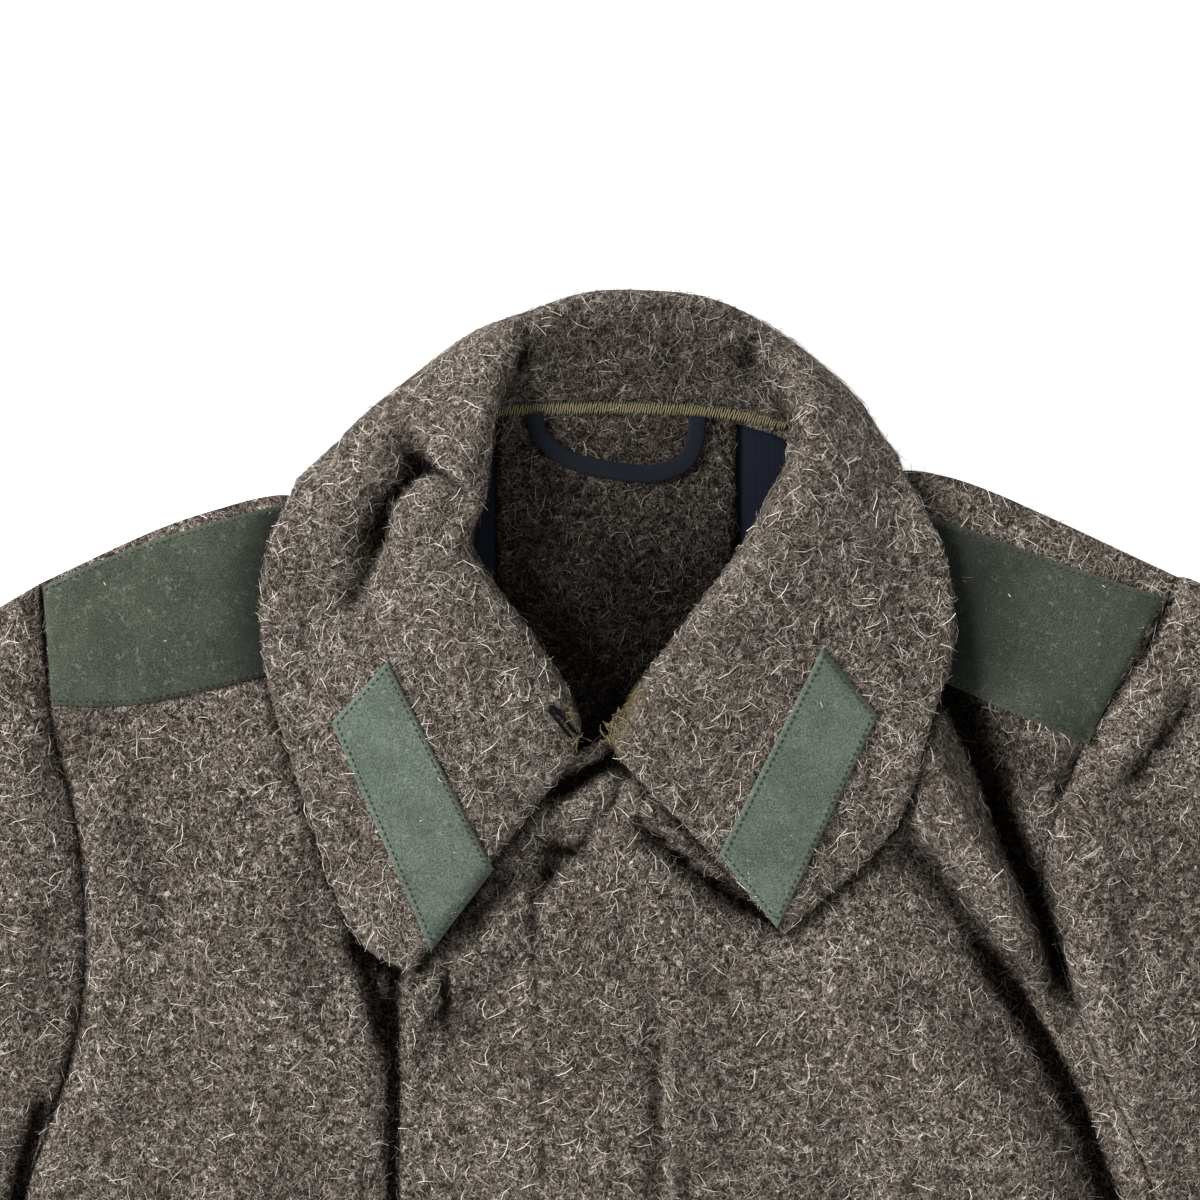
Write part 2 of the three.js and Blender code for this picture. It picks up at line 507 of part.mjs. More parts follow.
// A wall of cloth from a grid of point pairs, outer and inner. A ring wraps round.
function wall(columns, rows, pair, ring = false) {
  const positions = [];
  const across = ring ? columns : columns + 1;
  for (let j = 0; j <= rows; j += 1) {
    for (let i = 0; i < across; i += 1) {
      const [outer, inner] = pair(i, j);
      positions.push(outer.x, outer.y, outer.z, inner.x, inner.y, inner.z);
    }
  }
  const vertex = (i, j, side) => 2 * (j * across + (i % across)) + side;
  const index = [];
  const quad = (a, b, c, d) => index.push(a, b, c, a, c, d);
  for (let j = 0; j < rows; j += 1) {
    for (let i = 0; i < columns; i += 1) {
      quad(vertex(i, j, 0), vertex(i + 1, j, 0), vertex(i + 1, j + 1, 0), vertex(i, j + 1, 0));
      quad(vertex(i, j, 1), vertex(i, j + 1, 1), vertex(i + 1, j + 1, 1), vertex(i + 1, j, 1));
    }
  }
  for (let i = 0; i < columns; i += 1) {
    quad(vertex(i, 0, 0), vertex(i, 0, 1), vertex(i + 1, 0, 1), vertex(i + 1, 0, 0));
    quad(vertex(i, rows, 0), vertex(i + 1, rows, 0), vertex(i + 1, rows, 1), vertex(i, rows, 1));
  }
  for (let j = 0; j < rows && !ring; j += 1) {
    quad(vertex(0, j, 0), vertex(0, j + 1, 0), vertex(0, j + 1, 1), vertex(0, j, 1));
    quad(vertex(columns, j, 0), vertex(columns, j, 1), vertex(columns, j + 1, 1), vertex(columns, j + 1, 0));
  }
  return closedMesh(positions, index);
}

// A piece lying flat: its plan point at (i, j), its upper face, and its thickness.
function layer(columns, rows, plan, top, thickness) {
  return wall(columns, rows, (i, j) => {
    const { x, y } = plan(i, j);
    const z = top(x, y);
    return [{ x, y, z }, { x, y, z: z - thickness }];
  });
}

function named(name, geometry, colour) {
  const mesh = new THREE.Mesh(geometry, new THREE.MeshStandardMaterial(COLOURS[colour]));
  mesh.name = name;
  return mesh;
}

// ---------- fronts and back ----------

function bodyRow(step) {
  if (step <= ARM_STEPS) {
    return UNDERARM_ROW * easedStep(step, ARM_STEPS);
  }
  const t = (step - ARM_STEPS) / SIDE_STEPS;
  return UNDERARM_ROW + (LAST_ROW - UNDERARM_ROW) * t ** UPPER_CROWDING;
}

// A plan point of a panel between its outer and inner edge, bent to its top edge.
function panelPoint(table, topEdge, t, row) {
  const level = rowAt(table, row);
  const first = table[0];
  const top = curveAt(topEdge, t);
  const fade = 1 - smooth(row / TOP_EDGE_ROWS);
  return {
    x: mix(level.outerX, level.innerX, t) + fade * (top.x - mix(first.outerX, first.innerX, t)),
    y: mix(level.outerY, level.innerY, t) + fade * (top.y - mix(first.outerY, first.innerY, t)),
  };
}

function front(name, table, shoulder, top) {
  const plan = (i, j) => panelPoint(table, shoulder, i / FRONT_COLUMNS, bodyRow(j));
  return named(name, layer(FRONT_COLUMNS, BODY_STEPS, plan, top, WOOL), 'wool');
}

function backTopEdge(i) {
  if (i <= SHOULDER_COLUMNS) {
    return curveAt(SHOULDER_RIGHT, i / SHOULDER_COLUMNS);
  }
  if (i >= SHOULDER_COLUMNS + NECK_COLUMNS) {
    return curveAt(SHOULDER_LEFT, (BACK_COLUMNS - i) / SHOULDER_COLUMNS);
  }
  return curveAt(BACK_NECK, (i - SHOULDER_COLUMNS) / NECK_COLUMNS);
}

function backPlan(i, j) {
  const row = bodyRow(j);
  const right = rowAt(FRONT_RIGHT, row);
  const left = rowAt(FRONT_LEFT, row);
  const edge = backTopEdge(i);
  const width = FRONT_LEFT[0].outerX - FRONT_RIGHT[0].outerX;
  const t = (edge.x - FRONT_RIGHT[0].outerX) / width;
  const straight = mix(FRONT_RIGHT[0].outerY, FRONT_LEFT[0].outerY, t);
  const fade = 1 - smooth(row / TOP_EDGE_ROWS);
  const low = smooth((row - UNDERARM_ROW) / (LAST_ROW - UNDERARM_ROW));
  const drop = HEM_DROP * low * 4 * t * (1 - t);
  return {
    x: mix(right.outerX, left.outerX, t),
    y: mix(right.outerY, left.outerY, t) + fade * (edge.y - straight) - drop,
  };
}

const back = () => named('back', layer(BACK_COLUMNS, BODY_STEPS, backPlan, backTop, WOOL), 'wool');

// ---------- sleeves ----------

// The armhole's own curve, and the way out of it in plan.
function armholeAt(body, t) {
  const row = rowAt(body, UNDERARM_ROW * t);
  const before = rowAt(body, UNDERARM_ROW * Math.max(t - NUDGE, 0));
  const after = rowAt(body, UNDERARM_ROW * Math.min(t + NUDGE, 1));
  const dx = after.outerX - before.outerX;
  const dy = after.outerY - before.outerY;
  const out = Math.sign(body[0].outerX) / Math.hypot(dx, dy);
  return { x: row.outerX, y: row.outerY, outX: -dy * out, outY: dx * out };
}

// The armhole meets the sleeve with the seam's gap; rings further down straighten.
function sleevePlan(body, table, t, index) {
  const ring = rowAt(table, index);
  const hole = armholeAt(body, t);
  const chordX = mix(table[0].outerX, table[0].innerX, t);
  const chordY = mix(table[0].outerY, table[0].innerY, t);
  return {
    x: mix(ring.outerX, ring.innerX, t) + ring.bow * (hole.x - chordX) + SEAM_GAP * hole.outX,
    y: mix(ring.outerY, ring.innerY, t) + ring.bow * (hole.y - chordY) + SEAM_GAP * hole.outY,
    height: ring.height,
    width: Math.hypot(ring.outerX - ring.innerX, ring.outerY - ring.innerY),
  };
}

// The outer and the inner point of a sleeve's ring, over or under its flat inside.
function sleevePair(body, table, t, index, upper) {
  const outer = sleevePlan(body, table, t, index);
  const inset = WOOL / outer.width;
  const inner = sleevePlan(body, table, inset + t * (1 - 2 * inset), index);
  const reach = Math.min(t, 1 - t) * outer.width / SLEEVE_EDGE_RADIUS;
  const full = Math.sqrt(1 - (1 - Math.min(reach, 1)) ** 2);
  const way = upper ? full : -full;
  const middle = outer.height / 2;
  const fold = upper ? full * Math.max(foldHeight(FOLDS, outer.x, outer.y), 0) : 0;
  return [
    { x: outer.x, y: outer.y, z: middle * (1 + way) + fold },
    { x: inner.x, y: inner.y, z: middle + (middle - WOOL) * way + fold },
  ];
}

function sleeve(name, body, table) {
  const columns = 2 * ARM_STEPS;
  const geometry = wall(columns, RING_STEPS, (i, j) => {
    const upper = i <= ARM_STEPS;
    const t = easedStep(upper ? i : columns - i, ARM_STEPS);
    const along = (j / RING_STEPS) ** UPPER_CROWDING;
    return sleevePair(body, table, t, along * (table.length - 1), upper);
  }, true);
  return named(name, geometry, 'wool');
}

// ---------- collar ----------

const SECTION_COUNT = SECTION_STEPS.reduce((sum, count) => sum + count, 0);
const LAST_STATION = COLLAR.length - 1;
const LAYER_HALF = COLLAR_LAYER_GAP / 2;

// The place of a step of the section: its steps divide each stretch evenly.
function sectionPlace(step) {
  let left = step;
  for (let k = 0; k < SECTION_STEPS.length; k += 1) {
    if (left <= SECTION_STEPS[k]) {
      return k + left / SECTION_STEPS[k];
    }
    left -= SECTION_STEPS[k];
  }
  return FALL_EDGE;
}

// The five places of the section at a station.
function collarSection(station) {
  const row = rowAt(COLLAR, station);
  const neck = new THREE.Vector3(row.neckX, row.neckY, row.neckZ);
  const roll = new THREE.Vector3(row.rollX, row.rollY, row.rollZ);
  const mid = new THREE.Vector3(row.midX, row.midY, row.midZ);
  const edge = new THREE.Vector3(row.edgeX, row.edgeY, row.edgeZ);
  const standPart = Math.min(ROLL_SOFTNESS / roll.distanceTo(neck), ROLL_SHARE);
  const fallPart = Math.min(ROLL_SOFTNESS / roll.distanceTo(mid), ROLL_SHARE);
  const rise = roll.clone().lerp(neck, standPart);
  const turn = roll.clone().lerp(mid, fallPart);
  return [neck, rise, turn, mid, edge];
}

// The middle of the two collar layers. The fall rests on what lies below it, or lies
// beneath the back. Outside the coat's edge it is free to wrap round.
function collarMiddle(station, place) {
  const { x, y, z } = rowAt(collarSection(station), place);
  const rest = WOOL + LAYER_HALF;
  const clear = Math.max(-edgeDistance(x, y) - WRAP_CLEAR, 0);
  if (place <= ROLL_TOP) {
    return new THREE.Vector3(x, y, z);
  }
  if (rowAt(COLLAR, station).under > 0.5) {
    const ceiling = place > FALL_MIDDLE ? rest + WRAP_PLAY + WRAP_RISE * clear : z;
    return new THREE.Vector3(x, y, clamp(z, rest, ceiling));
  }
  const pastRoll = smooth((place - ROLL_TOP) / (TURN - ROLL_TOP));
  const crumple = foldHeight(COLLAR_FOLDS, x, y) * pastRoll;
  const floor = place > TURN ? supportTop(x, y) + rest + COLLAR_CLEAR - WRAP_DROP * clear : 0;
  return new THREE.Vector3(x, y, Math.max(z + crumple, floor));
}

// A point of the collar, moved out of its middle along the surface's normal.
function collarPoint(station, place, offset) {
  const at = (s, p) => collarMiddle(clamp(s, 0, LAST_STATION), clamp(p, 0, FALL_EDGE));
  const along = at(station + COLLAR_NUDGE, place).sub(at(station - COLLAR_NUDGE, place));
  const across = at(station, place + COLLAR_NUDGE).sub(at(station, place - COLLAR_NUDGE));
  const out = along.cross(across).normalize();
  return at(station, place).addScaledVector(out, offset);
}

function collarLayer(name, near, far) {
  const geometry = wall(SECTION_COUNT, COLLAR_STEPS, (i, j) => {
    const station = LAST_STATION * j / COLLAR_STEPS;
    const place = sectionPlace(i);
    const outer = collarPoint(station, place, far);
    const inner = collarPoint(station, place, near);
    outer.z = Math.max(outer.z, 0);
    return [outer, inner];
  });
  return named(name, geometry, 'wool');
}

// ---------- pieces that lie on a panel ----------

function solid(geometry) {
  const merged = mergeVertices(geometry, WELD);
  return new manifold.Manifold(new manifold.Mesh({
    numProp: 3,
    vertProperties: new Float32Array(merged.attributes.position.array),
    triVerts: new Uint32Array(merged.index.array),
  }));
}

// An extrusion with nothing but its points, so that its corners can be welded.
function bareExtrusion(shape, settings) {
  const geometry = new THREE.ExtrudeGeometry(shape, settings);
  geometry.deleteAttribute('normal');
  geometry.deleteAttribute('uv');
  return geometry;
}

// A prism over a plan outline, tall enough to cut through every layer.
function prism(outline) {
  const shape = new THREE.Shape(outline.map(({ x, y }) => new THREE.Vector2(x, y)));
  return solid(bareExtrusion(shape, { depth: CUT_HEIGHT, bevelEnabled: false }));
}

// The part of a thin sheet inside a plan outline.
function cutFrom(name, sheet, outline, colour) {
  const piece = solid(sheet).intersect(prism(outline)).getMesh();
  const geometry = new THREE.BufferGeometry();
  geometry.setAttribute('position', new THREE.Float32BufferAttribute(piece.vertProperties, 3));
  geometry.setIndex([...piece.triVerts]);
  return named(name, geometry, colour);
}

// A sheet just above the outer face of the collar's fall, on the same points.
function collarTab(name, outline, span) {
  const first = Math.round(span.from * COLLAR_STEPS);
  const steps = Math.round(span.to * COLLAR_STEPS) - first;
  const start = SECTION_STEPS[0] + SECTION_STEPS[1];
  const base = WOOL + LAYER_HALF;
  const sheet = wall(SECTION_COUNT - start, steps, (i, j) => {
    const station = LAST_STATION * (first + j) / COLLAR_STEPS;
    const place = sectionPlace(start + i);
    return [
      collarPoint(station, place, base + SEAM_GAP + FELT),
      collarPoint(station, place, base + SEAM_GAP),
    ];
  });
  return cutFrom(name, sheet, outline, 'felt');
}

// A sheet just above a front's shoulder, on the front's own points.
function shoulderPatch(name, table, shoulder, top, outline) {
  const plan = (i, j) => panelPoint(table, shoulder, i / FRONT_COLUMNS, bodyRow(j));
  const raised = (x, y) => top(x, y) + SEAM_GAP + FELT;
  return cutFrom(name, layer(FRONT_COLUMNS, PATCH_STEPS, plan, raised, FELT), outline, 'felt');
}

// ---------- inside the neck ----------

function insidePiece(name, table, topEdge, columns, rows, thickness, colour) {
  const last = table.length - 1;
  const plan = (i, j) => panelPoint(table, topEdge, i / columns, last * j / rows);
  const top = (x, y) => backTop(x, y) + LAY_GAP + thickness;
  return named(name, layer(columns, rows, plan, top, thickness), colour);
}

// A flat band that lies in a loop on the facing.
function hangerLoop() {
  const geometry = wall(1, LOOP_STEPS, (i, j) => {
    const t = j / LOOP_STEPS;
    const here = curveAt(LOOP_PATH, t);
    const before = curveAt(LOOP_PATH, Math.max(t - NUDGE, 0));
    const after = curveAt(LOOP_PATH, Math.min(t + NUDGE, 1));
    const length = Math.hypot(after.x - before.x, after.y - before.y);
    const side = (i - 0.5) * LOOP_WIDTH / length;
    const x = here.x - (after.y - before.y) * side;
    const y = here.y + (after.x - before.x) * side;
    const z = backTop(x, y) + 2 * LAY_GAP + WOOL;
    return [{ x, y, z: z + LOOP_THICKNESS }, { x, y, z }];
  });
  return named('hanger_loop', geometry, 'twill');
}

// The outer face of the collar under a plan point, by the nearest place on a fine grid.
function collarHeight(x, y, span) {
  let best = { distance: Infinity, z: 0 };
  for (let s = span.from * LAST_STATION; s <= span.to * LAST_STATION; s += HEIGHT_GRID) {
    for (let p = ROLL_TOP; p <= FALL_MIDDLE; p += HEIGHT_GRID) {
      const point = collarPoint(s, p, WOOL + LAYER_HALF);
      const distance = Math.hypot(point.x - x, point.y - y);
      if (distance < best.distance) {
        best = { distance, z: point.z };
      }
    }
  }
  return best.z;
}

// A hairpin of wire: one leg, the bend at its tip and the other leg.
function hairpin() {
  const radius = HOOK_WIDTH / 2;
  const start = -HOOK_LENGTH / 2;
  const end = HOOK_LENGTH / 2 - radius;
  const leg = [];
  for (let k = 0; k < HOOK_LEG_POINTS; k += 1) {
    leg.push(mix(start, end, k / HOOK_LEG_POINTS));
  }
  const bend = [];
  for (let k = 0; k <= HOOK_BEND_POINTS; k += 1) {
    const angle = Math.PI * (k / HOOK_BEND_POINTS - 0.5);
    bend.push({ u: end + radius * Math.cos(angle), v: radius * Math.sin(angle) });
  }
  const away = leg.map((u) => ({ u, v: -radius }));
  const home = leg.reverse().map((u) => ({ u, v: radius }));
  return [...away, ...bend, ...home];
}

function collarHook() {
  const path = hairpin().map(({ u, v }) => {
    const x = HOOK_CENTRE.x + u * Math.cos(HOOK_TURN) - v * Math.sin(HOOK_TURN);
    const y = HOOK_CENTRE.y + u * Math.sin(HOOK_TURN) + v * Math.cos(HOOK_TURN);
    const z = collarHeight(x, y, HOOK_SPAN) + HOOK_WIRE / 2 + 2 * SEAM_GAP;
    return new THREE.Vector3(x, y, z);
  });
  const section = new THREE.Shape().absarc(0, 0, HOOK_WIRE / 2, 0, 2 * Math.PI);
  const geometry = bareExtrusion(section, {
    extrudePath: new THREE.CatmullRomCurve3(path),
    steps: HOOK_STEPS,
    curveSegments: 3,
  });
  return named('collar_hook', mergeVertices(geometry, WELD), 'metal');
}

// ---------- the coat ----------

const coat = new THREE.Group();
coat.add(back());
coat.add(front('front_right', FRONT_RIGHT, SHOULDER_RIGHT, frontRightTop));
coat.add(front('front_left', FRONT_LEFT, SHOULDER_LEFT, frontLeftTop));
coat.add(sleeve('sleeve_right', FRONT_RIGHT, SLEEVE_RIGHT));
coat.add(sleeve('sleeve_left', FRONT_LEFT, SLEEVE_LEFT));
coat.add(collarLayer('upper_collar', LAYER_HALF, LAYER_HALF + WOOL));
coat.add(collarLayer('under_collar', -LAYER_HALF, -LAYER_HALF - WOOL));
coat.add(collarTab('collar_tab_right', TAB_RIGHT, TAB_RIGHT_SPAN));
coat.add(collarTab('collar_tab_left', TAB_LEFT, TAB_LEFT_SPAN));
coat.add(shoulderPatch('shoulder_patch_right', FRONT_RIGHT, SHOULDER_RIGHT, frontRightTop, PATCH_RIGHT));
coat.add(shoulderPatch('shoulder_patch_left', FRONT_LEFT, SHOULDER_LEFT, frontLeftTop, PATCH_LEFT));
coat.add(insidePiece('neck_facing', FACING, FACING_TOP, 5, 9, WOOL, 'wool'));
coat.add(insidePiece('lining_right', LINING_RIGHT, LINING_RIGHT_TOP, 6, 10, COTTON, 'cotton'));
coat.add(insidePiece('lining_left', LINING_LEFT, LINING_LEFT_TOP, 6, 10, COTTON, 'cotton'));
coat.add(hangerLoop());
coat.add(collarHook());

// The origin is the middle of the underside.
const box = new THREE.Box3().setFromObject(coat);
const centre = box.getCenter(new THREE.Vector3());
coat.position.set(-centre.x, -centre.y, -box.min.z);

export default coat;
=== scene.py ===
import json
import math
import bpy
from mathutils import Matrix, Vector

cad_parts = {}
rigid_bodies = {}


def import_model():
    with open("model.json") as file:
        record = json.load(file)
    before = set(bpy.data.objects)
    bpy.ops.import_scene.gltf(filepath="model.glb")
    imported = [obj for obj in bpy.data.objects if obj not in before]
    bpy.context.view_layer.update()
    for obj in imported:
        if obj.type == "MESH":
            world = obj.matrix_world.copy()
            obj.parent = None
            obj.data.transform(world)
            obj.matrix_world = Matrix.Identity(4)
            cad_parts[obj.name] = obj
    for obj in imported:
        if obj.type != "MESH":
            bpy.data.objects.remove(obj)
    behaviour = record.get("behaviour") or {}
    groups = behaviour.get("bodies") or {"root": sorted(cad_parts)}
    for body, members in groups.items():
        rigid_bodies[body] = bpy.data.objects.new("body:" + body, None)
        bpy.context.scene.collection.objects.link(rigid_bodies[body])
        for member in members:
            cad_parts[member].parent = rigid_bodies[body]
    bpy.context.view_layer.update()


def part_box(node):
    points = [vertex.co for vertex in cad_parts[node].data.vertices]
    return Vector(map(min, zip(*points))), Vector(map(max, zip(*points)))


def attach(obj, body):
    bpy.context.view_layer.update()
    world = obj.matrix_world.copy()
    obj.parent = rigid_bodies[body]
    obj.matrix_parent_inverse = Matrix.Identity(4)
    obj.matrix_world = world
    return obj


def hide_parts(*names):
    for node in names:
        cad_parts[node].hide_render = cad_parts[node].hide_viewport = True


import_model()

from types import SimpleNamespace

import bpy
import numpy as np
from bpy.props import FloatProperty, FloatVectorProperty, PointerProperty
from mathutils.bvhtree import BVHTree

bl_info = {
    "name": "Greatcoat cloth",
    "version": (1, 0, 0),
    "blender": (4, 5, 0),
    "location": "3D View > Sidebar > Coat",
    "description": "Dresses the greatcoat's solids in wool, felt, lining and stitches",
    "category": "Add Mesh",
}

# Plan coordinates are millimetres from the middle of the chest: +x is the wearer's
# left, +y runs toward the collar and +z is up.
MM = 0.001
BODY = "root"

# ---------- sizes, in millimetres ----------

# How thick the cloths are.
WOOL = 3.0
FELT = 1.5
COTTON = 1.0

# The air between layers, the least thickness at a rounded edge, and a sleeve's soft edge.
SEAM_GAP = 0.3
LAY_GAP = 0.7
COLLAR_LAYER_GAP = 0.3
COLLAR_CLEAR = 0.7
THINNEST = 0.6
SLEEVE_EDGE_RADIUS = 6

# How the fronts rise off the back inside their seams, and further round the neck.
LOFT = 2.15
LOFT_REACH = 22
NECK_RISE = 4
NECK_CENTRE = (10, 20)
NECK_RISE_FAR = 200
NECK_RISE_RAMP = 140
NECK_RISE_EDGE = 40

# How the fly's flap lifts the left front, as far as its end in x.
FLAP_RISE = 3.8
FLAP_RISE_END = 58
FLAP_RISE_RAMP = 28

# How the back rises to the neck, from low in y and within the sides in x, and how far
# the middle of its hem hangs below the ends.
BACK_LIFT = 7
BACK_LIFT_LOW = -50
BACK_LIFT_RAMP = 88
BACK_MIDDLE = 5
BACK_LIFT_SIDE = 235
BACK_LIFT_SIDE_RAMP = 105
HEM_DROP = 14

# How deep troughs may be, and how deep where the left front laps the right one.
TROUGH_LIMIT = -4.4
LAP_TROUGH_LIMIT = -1.2
LAP_END = 60
LAP_RAMP = 20
LAP_MARGIN = 3

# The right front's edge, and from where it lies plain under the flap.
RIGHT_FRONT_EDGE = 27
PLAIN_START = -112
PLAIN_RAMP = 24

# Where the collar lies over the flap: its edge, its top and the ramp to them. Where it
# lies over a patch: from which x, over how far, from which y and over how far.
FLAP_UNDER_COLLAR = (-102, -46, 12)
PATCH_UNDER_COLLAR = (96, 14, -70, 20)

# Where the lining and the facing lie on the back.
LINED_HALF = 182
LINED_LOW = -212
LINED_RAMP = 8
FACED_MIDDLE = 7
FACED_HALF = 62
FACED_LOW = -127

# How far the cloth dips into its seams.
SEAM_DIP = 1.9
SEAM_DIP_REACH = 3.6

# Rows of the fronts' tables: the underarm, the hem, and as far as the top edge's bend
# is followed.
UNDERARM_ROW = 7
LAST_ROW = 12
TOP_EDGE_ROWS = 5

# Samples along edges and folds, how soon a fold fades in and out, and how far in from a
# rounded edge its rings lie.
EDGE_SAMPLES = 84
SHOULDER_SAMPLES = 30
FOLD_PIECES = 14
FOLD_FADE = 0.28
EDGE_RING = (0.25, 0.7, 1.4, 2.4)

# The collar's section: neck seam, rise, turn, middle of the fall and edge.
ROLL_TOP = 1.5
TURN = 2
FALL_MIDDLE = 3
FALL_EDGE = 4

# How softly the collar turns at its roll, how its fall clears the back where it wraps
# under, and how its edge rounds off.
ROLL_SOFTNESS = 13
ROLL_SHARE = 0.42
WRAP_CLEAR = 3.8
WRAP_DROP = 6
WRAP_RISE = 1.2
WRAP_PLAY = 0.2
EDGE_ROUND = 3.4

# The seam allowance that shows as a fine groove along the collar's edge.
IMPRINT_IN = 18
IMPRINT_WIDTH = 1.5
IMPRINT_DEPTH = 0.8
IMPRINT_FRONT = 4


def smooth(t):
    """0 below 0, 1 above 1 and a soft step between."""
    s = np.clip(t, 0, 1)
    return s * s * (3 - 2 * s)


def mix(a, b, t):
    """The way from a to b at share t."""
    return a + (b - a) * t


def catmull_rom(rows, index):
    """Values of a smooth curve through rows, at fractional row numbers."""
    last = len(rows) - 1
    start = np.clip(np.floor(index).astype(int), 0, last - 1)
    t = (index - start).reshape(index.shape + (1,) * (rows.ndim - 1))
    p0, p1, p2, p3 = (rows[np.clip(start + k, 0, last)] for k in (-1, 0, 1, 2))
    v0, v1 = (p2 - p0) / 2, (p3 - p1) / 2
    return ((2 * p1 - 2 * p2 + v0 + v1) * t - 3 * p1 + 3 * p2 - 2 * v0 - v1) * t * t + v0 * t + p1


class Table:
    """Rows of numbers under named columns, read as smooth curves through the rows."""

    def __init__(self, text):
        """Text has a line of column names and a line for each row."""
        self.columns, *rows = [line.split() for line in text.splitlines() if line.strip()]
        self.rows = np.array(rows, float)

    def named(self, values):
        """Values under the names of their columns."""
        return SimpleNamespace(**{name: values[..., k] for k, name in enumerate(self.columns)})

    def at(self, index):
        """Every column at fractional row numbers."""
        return self.named(catmull_rom(self.rows, np.asarray(index, float)))

    def along(self, share):
        """Points at shares of the way through the rows."""
        return catmull_rom(self.rows, np.asarray(share, float) * (len(self.rows) - 1))

    def each(self):
        """The rows, one by one."""
        return [self.named(row) for row in self.rows]


def plan_points(text):
    """A table of plan points, written as x y, x y."""
    return Table("x y\n" + text.replace(",", "\n"))


# ---------- cutting tables ----------

# A front's outer edge runs from the shoulder point down the armhole to the underarm
# and on down the side to the hem; the inner edge down the neckline and the front edge.
FRONT_RIGHT = Table("""
    outer_x outer_y inner_x inner_y
    -237 7 -62 71
    -235 -22 -62 40
    -231 -56 -60 12
    -222 -92 -46 -12
    -218 -130 -24 -42
    -219 -170 -4 -68
    -228 -206 20 -100
    -241 -235 27 -140
    -248 -272 27 -200
    -274 -430 27 -390
    -308 -640 27 -640
    -342 -870 27 -890
    -372 -1095 27 -1112
""")

FRONT_LEFT = Table("""
    outer_x outer_y inner_x inner_y
    244 10 88 70
    234 -16 82 40
    217 -42 66 12
    198 -74 45 -16
    187 -112 22 -45
    196 -157 3 -57
    213 -202 -40 -82
    232 -245 -84 -120
    241 -285 -85 -170
    270 -440 -85 -380
    306 -645 -85 -635
    340 -870 -85 -885
    370 -1095 -85 -1112
""")

SHOULDER_RIGHT = plan_points("-237 7, -189 29, -155 40, -137 44, -126 43.5, -114 42, -98 49, -62 71")
SHOULDER_LEFT = plan_points("244 10, 193 33.5, 160 47.5, 141 53, 129 54.5, 119 52.5, 107 56.5, 88 70")
BACK_NECK = plan_points("-62 71, -42 80, -10 82, 20 82, 60 78, 88 70")

# A sleeve's rings: outer and inner edge, height when flat, and how much of the
# armhole's curve the ring still follows.
SLEEVE_RIGHT = Table("""
    outer_x outer_y inner_x inner_y height bow
    -237 7 -241 -235 6.9 1
    -252 -2 -246 -259 9 0.8
    -300 -31 -263 -282 10 0.35
    -362 -80 -294 -302 10 0.1
    -418 -146 -320 -344 9.5 0
    -462 -224 -348 -398 9.5 0
    -500 -312 -374 -458 9.5 0
    -536 -406 -400 -524 9.5 0
    -564 -494 -420 -578 9.5 0
""")

SLEEVE_LEFT = Table("""
    outer_x outer_y inner_x inner_y height bow
    244 10 232 -245 6.9 1
    256 6 237 -260 11 0.8
    302 -22 254 -286 12 0.4
    362 -74 288 -318 11 0.12
    414 -146 312 -364 10 0
    456 -230 338 -420 9.5 0
    492 -322 362 -482 9.5 0
    526 -418 388 -548 9.5 0
    552 -506 410 -604 9.5 0
""")

# Large folds: a bent path, the widths on its left and right, and the height.
FOLDS = Table("""
    from_x from_y bend_x bend_y to_x to_y near far height
    118 -34 158 -102 196 -176 11 17 12
    82 -140 152 -186 216 -272 13 30 8
    172 -20 196 -72 184 -128 17 13 6
    4 -78 22 -106 74 -136 12 12 3.5
    42 -130 40 -220 52 -420 34 13 5
    -208 -50 -190 -130 -212 -220 18 18 3.5
    -146 -110 -156 -190 -140 -330 30 26 4
    -190 -300 -214 -620 -262 -1060 34 30 8
    -118 -360 -140 -700 -160 -1120 28 34 6
    -254 -480 -290 -760 -318 -1080 24 22 5
    96 -330 112 -700 134 -1120 30 34 7
    190 -330 204 -640 250 -1060 30 34 8
    252 -520 286 -780 310 -1080 22 24 5
    204 -64 200 -140 246 -262 30 13 8
    280 -60 330 -150 356 -300 24 24 6
    440 -220 408 -300 356 -350 16 20 6
    470 -290 440 -360 384 -420 16 18 5
    420 -400 462 -470 484 -560 20 20 4
    -246 -20 -232 -110 -252 -220 12 26 5
    -290 -60 -330 -150 -350 -280 24 24 6
    -452 -210 -414 -290 -360 -336 20 16 6
    -478 -272 -452 -350 -396 -400 18 16 5
    -430 -390 -474 -460 -498 -550 20 20 4
""")

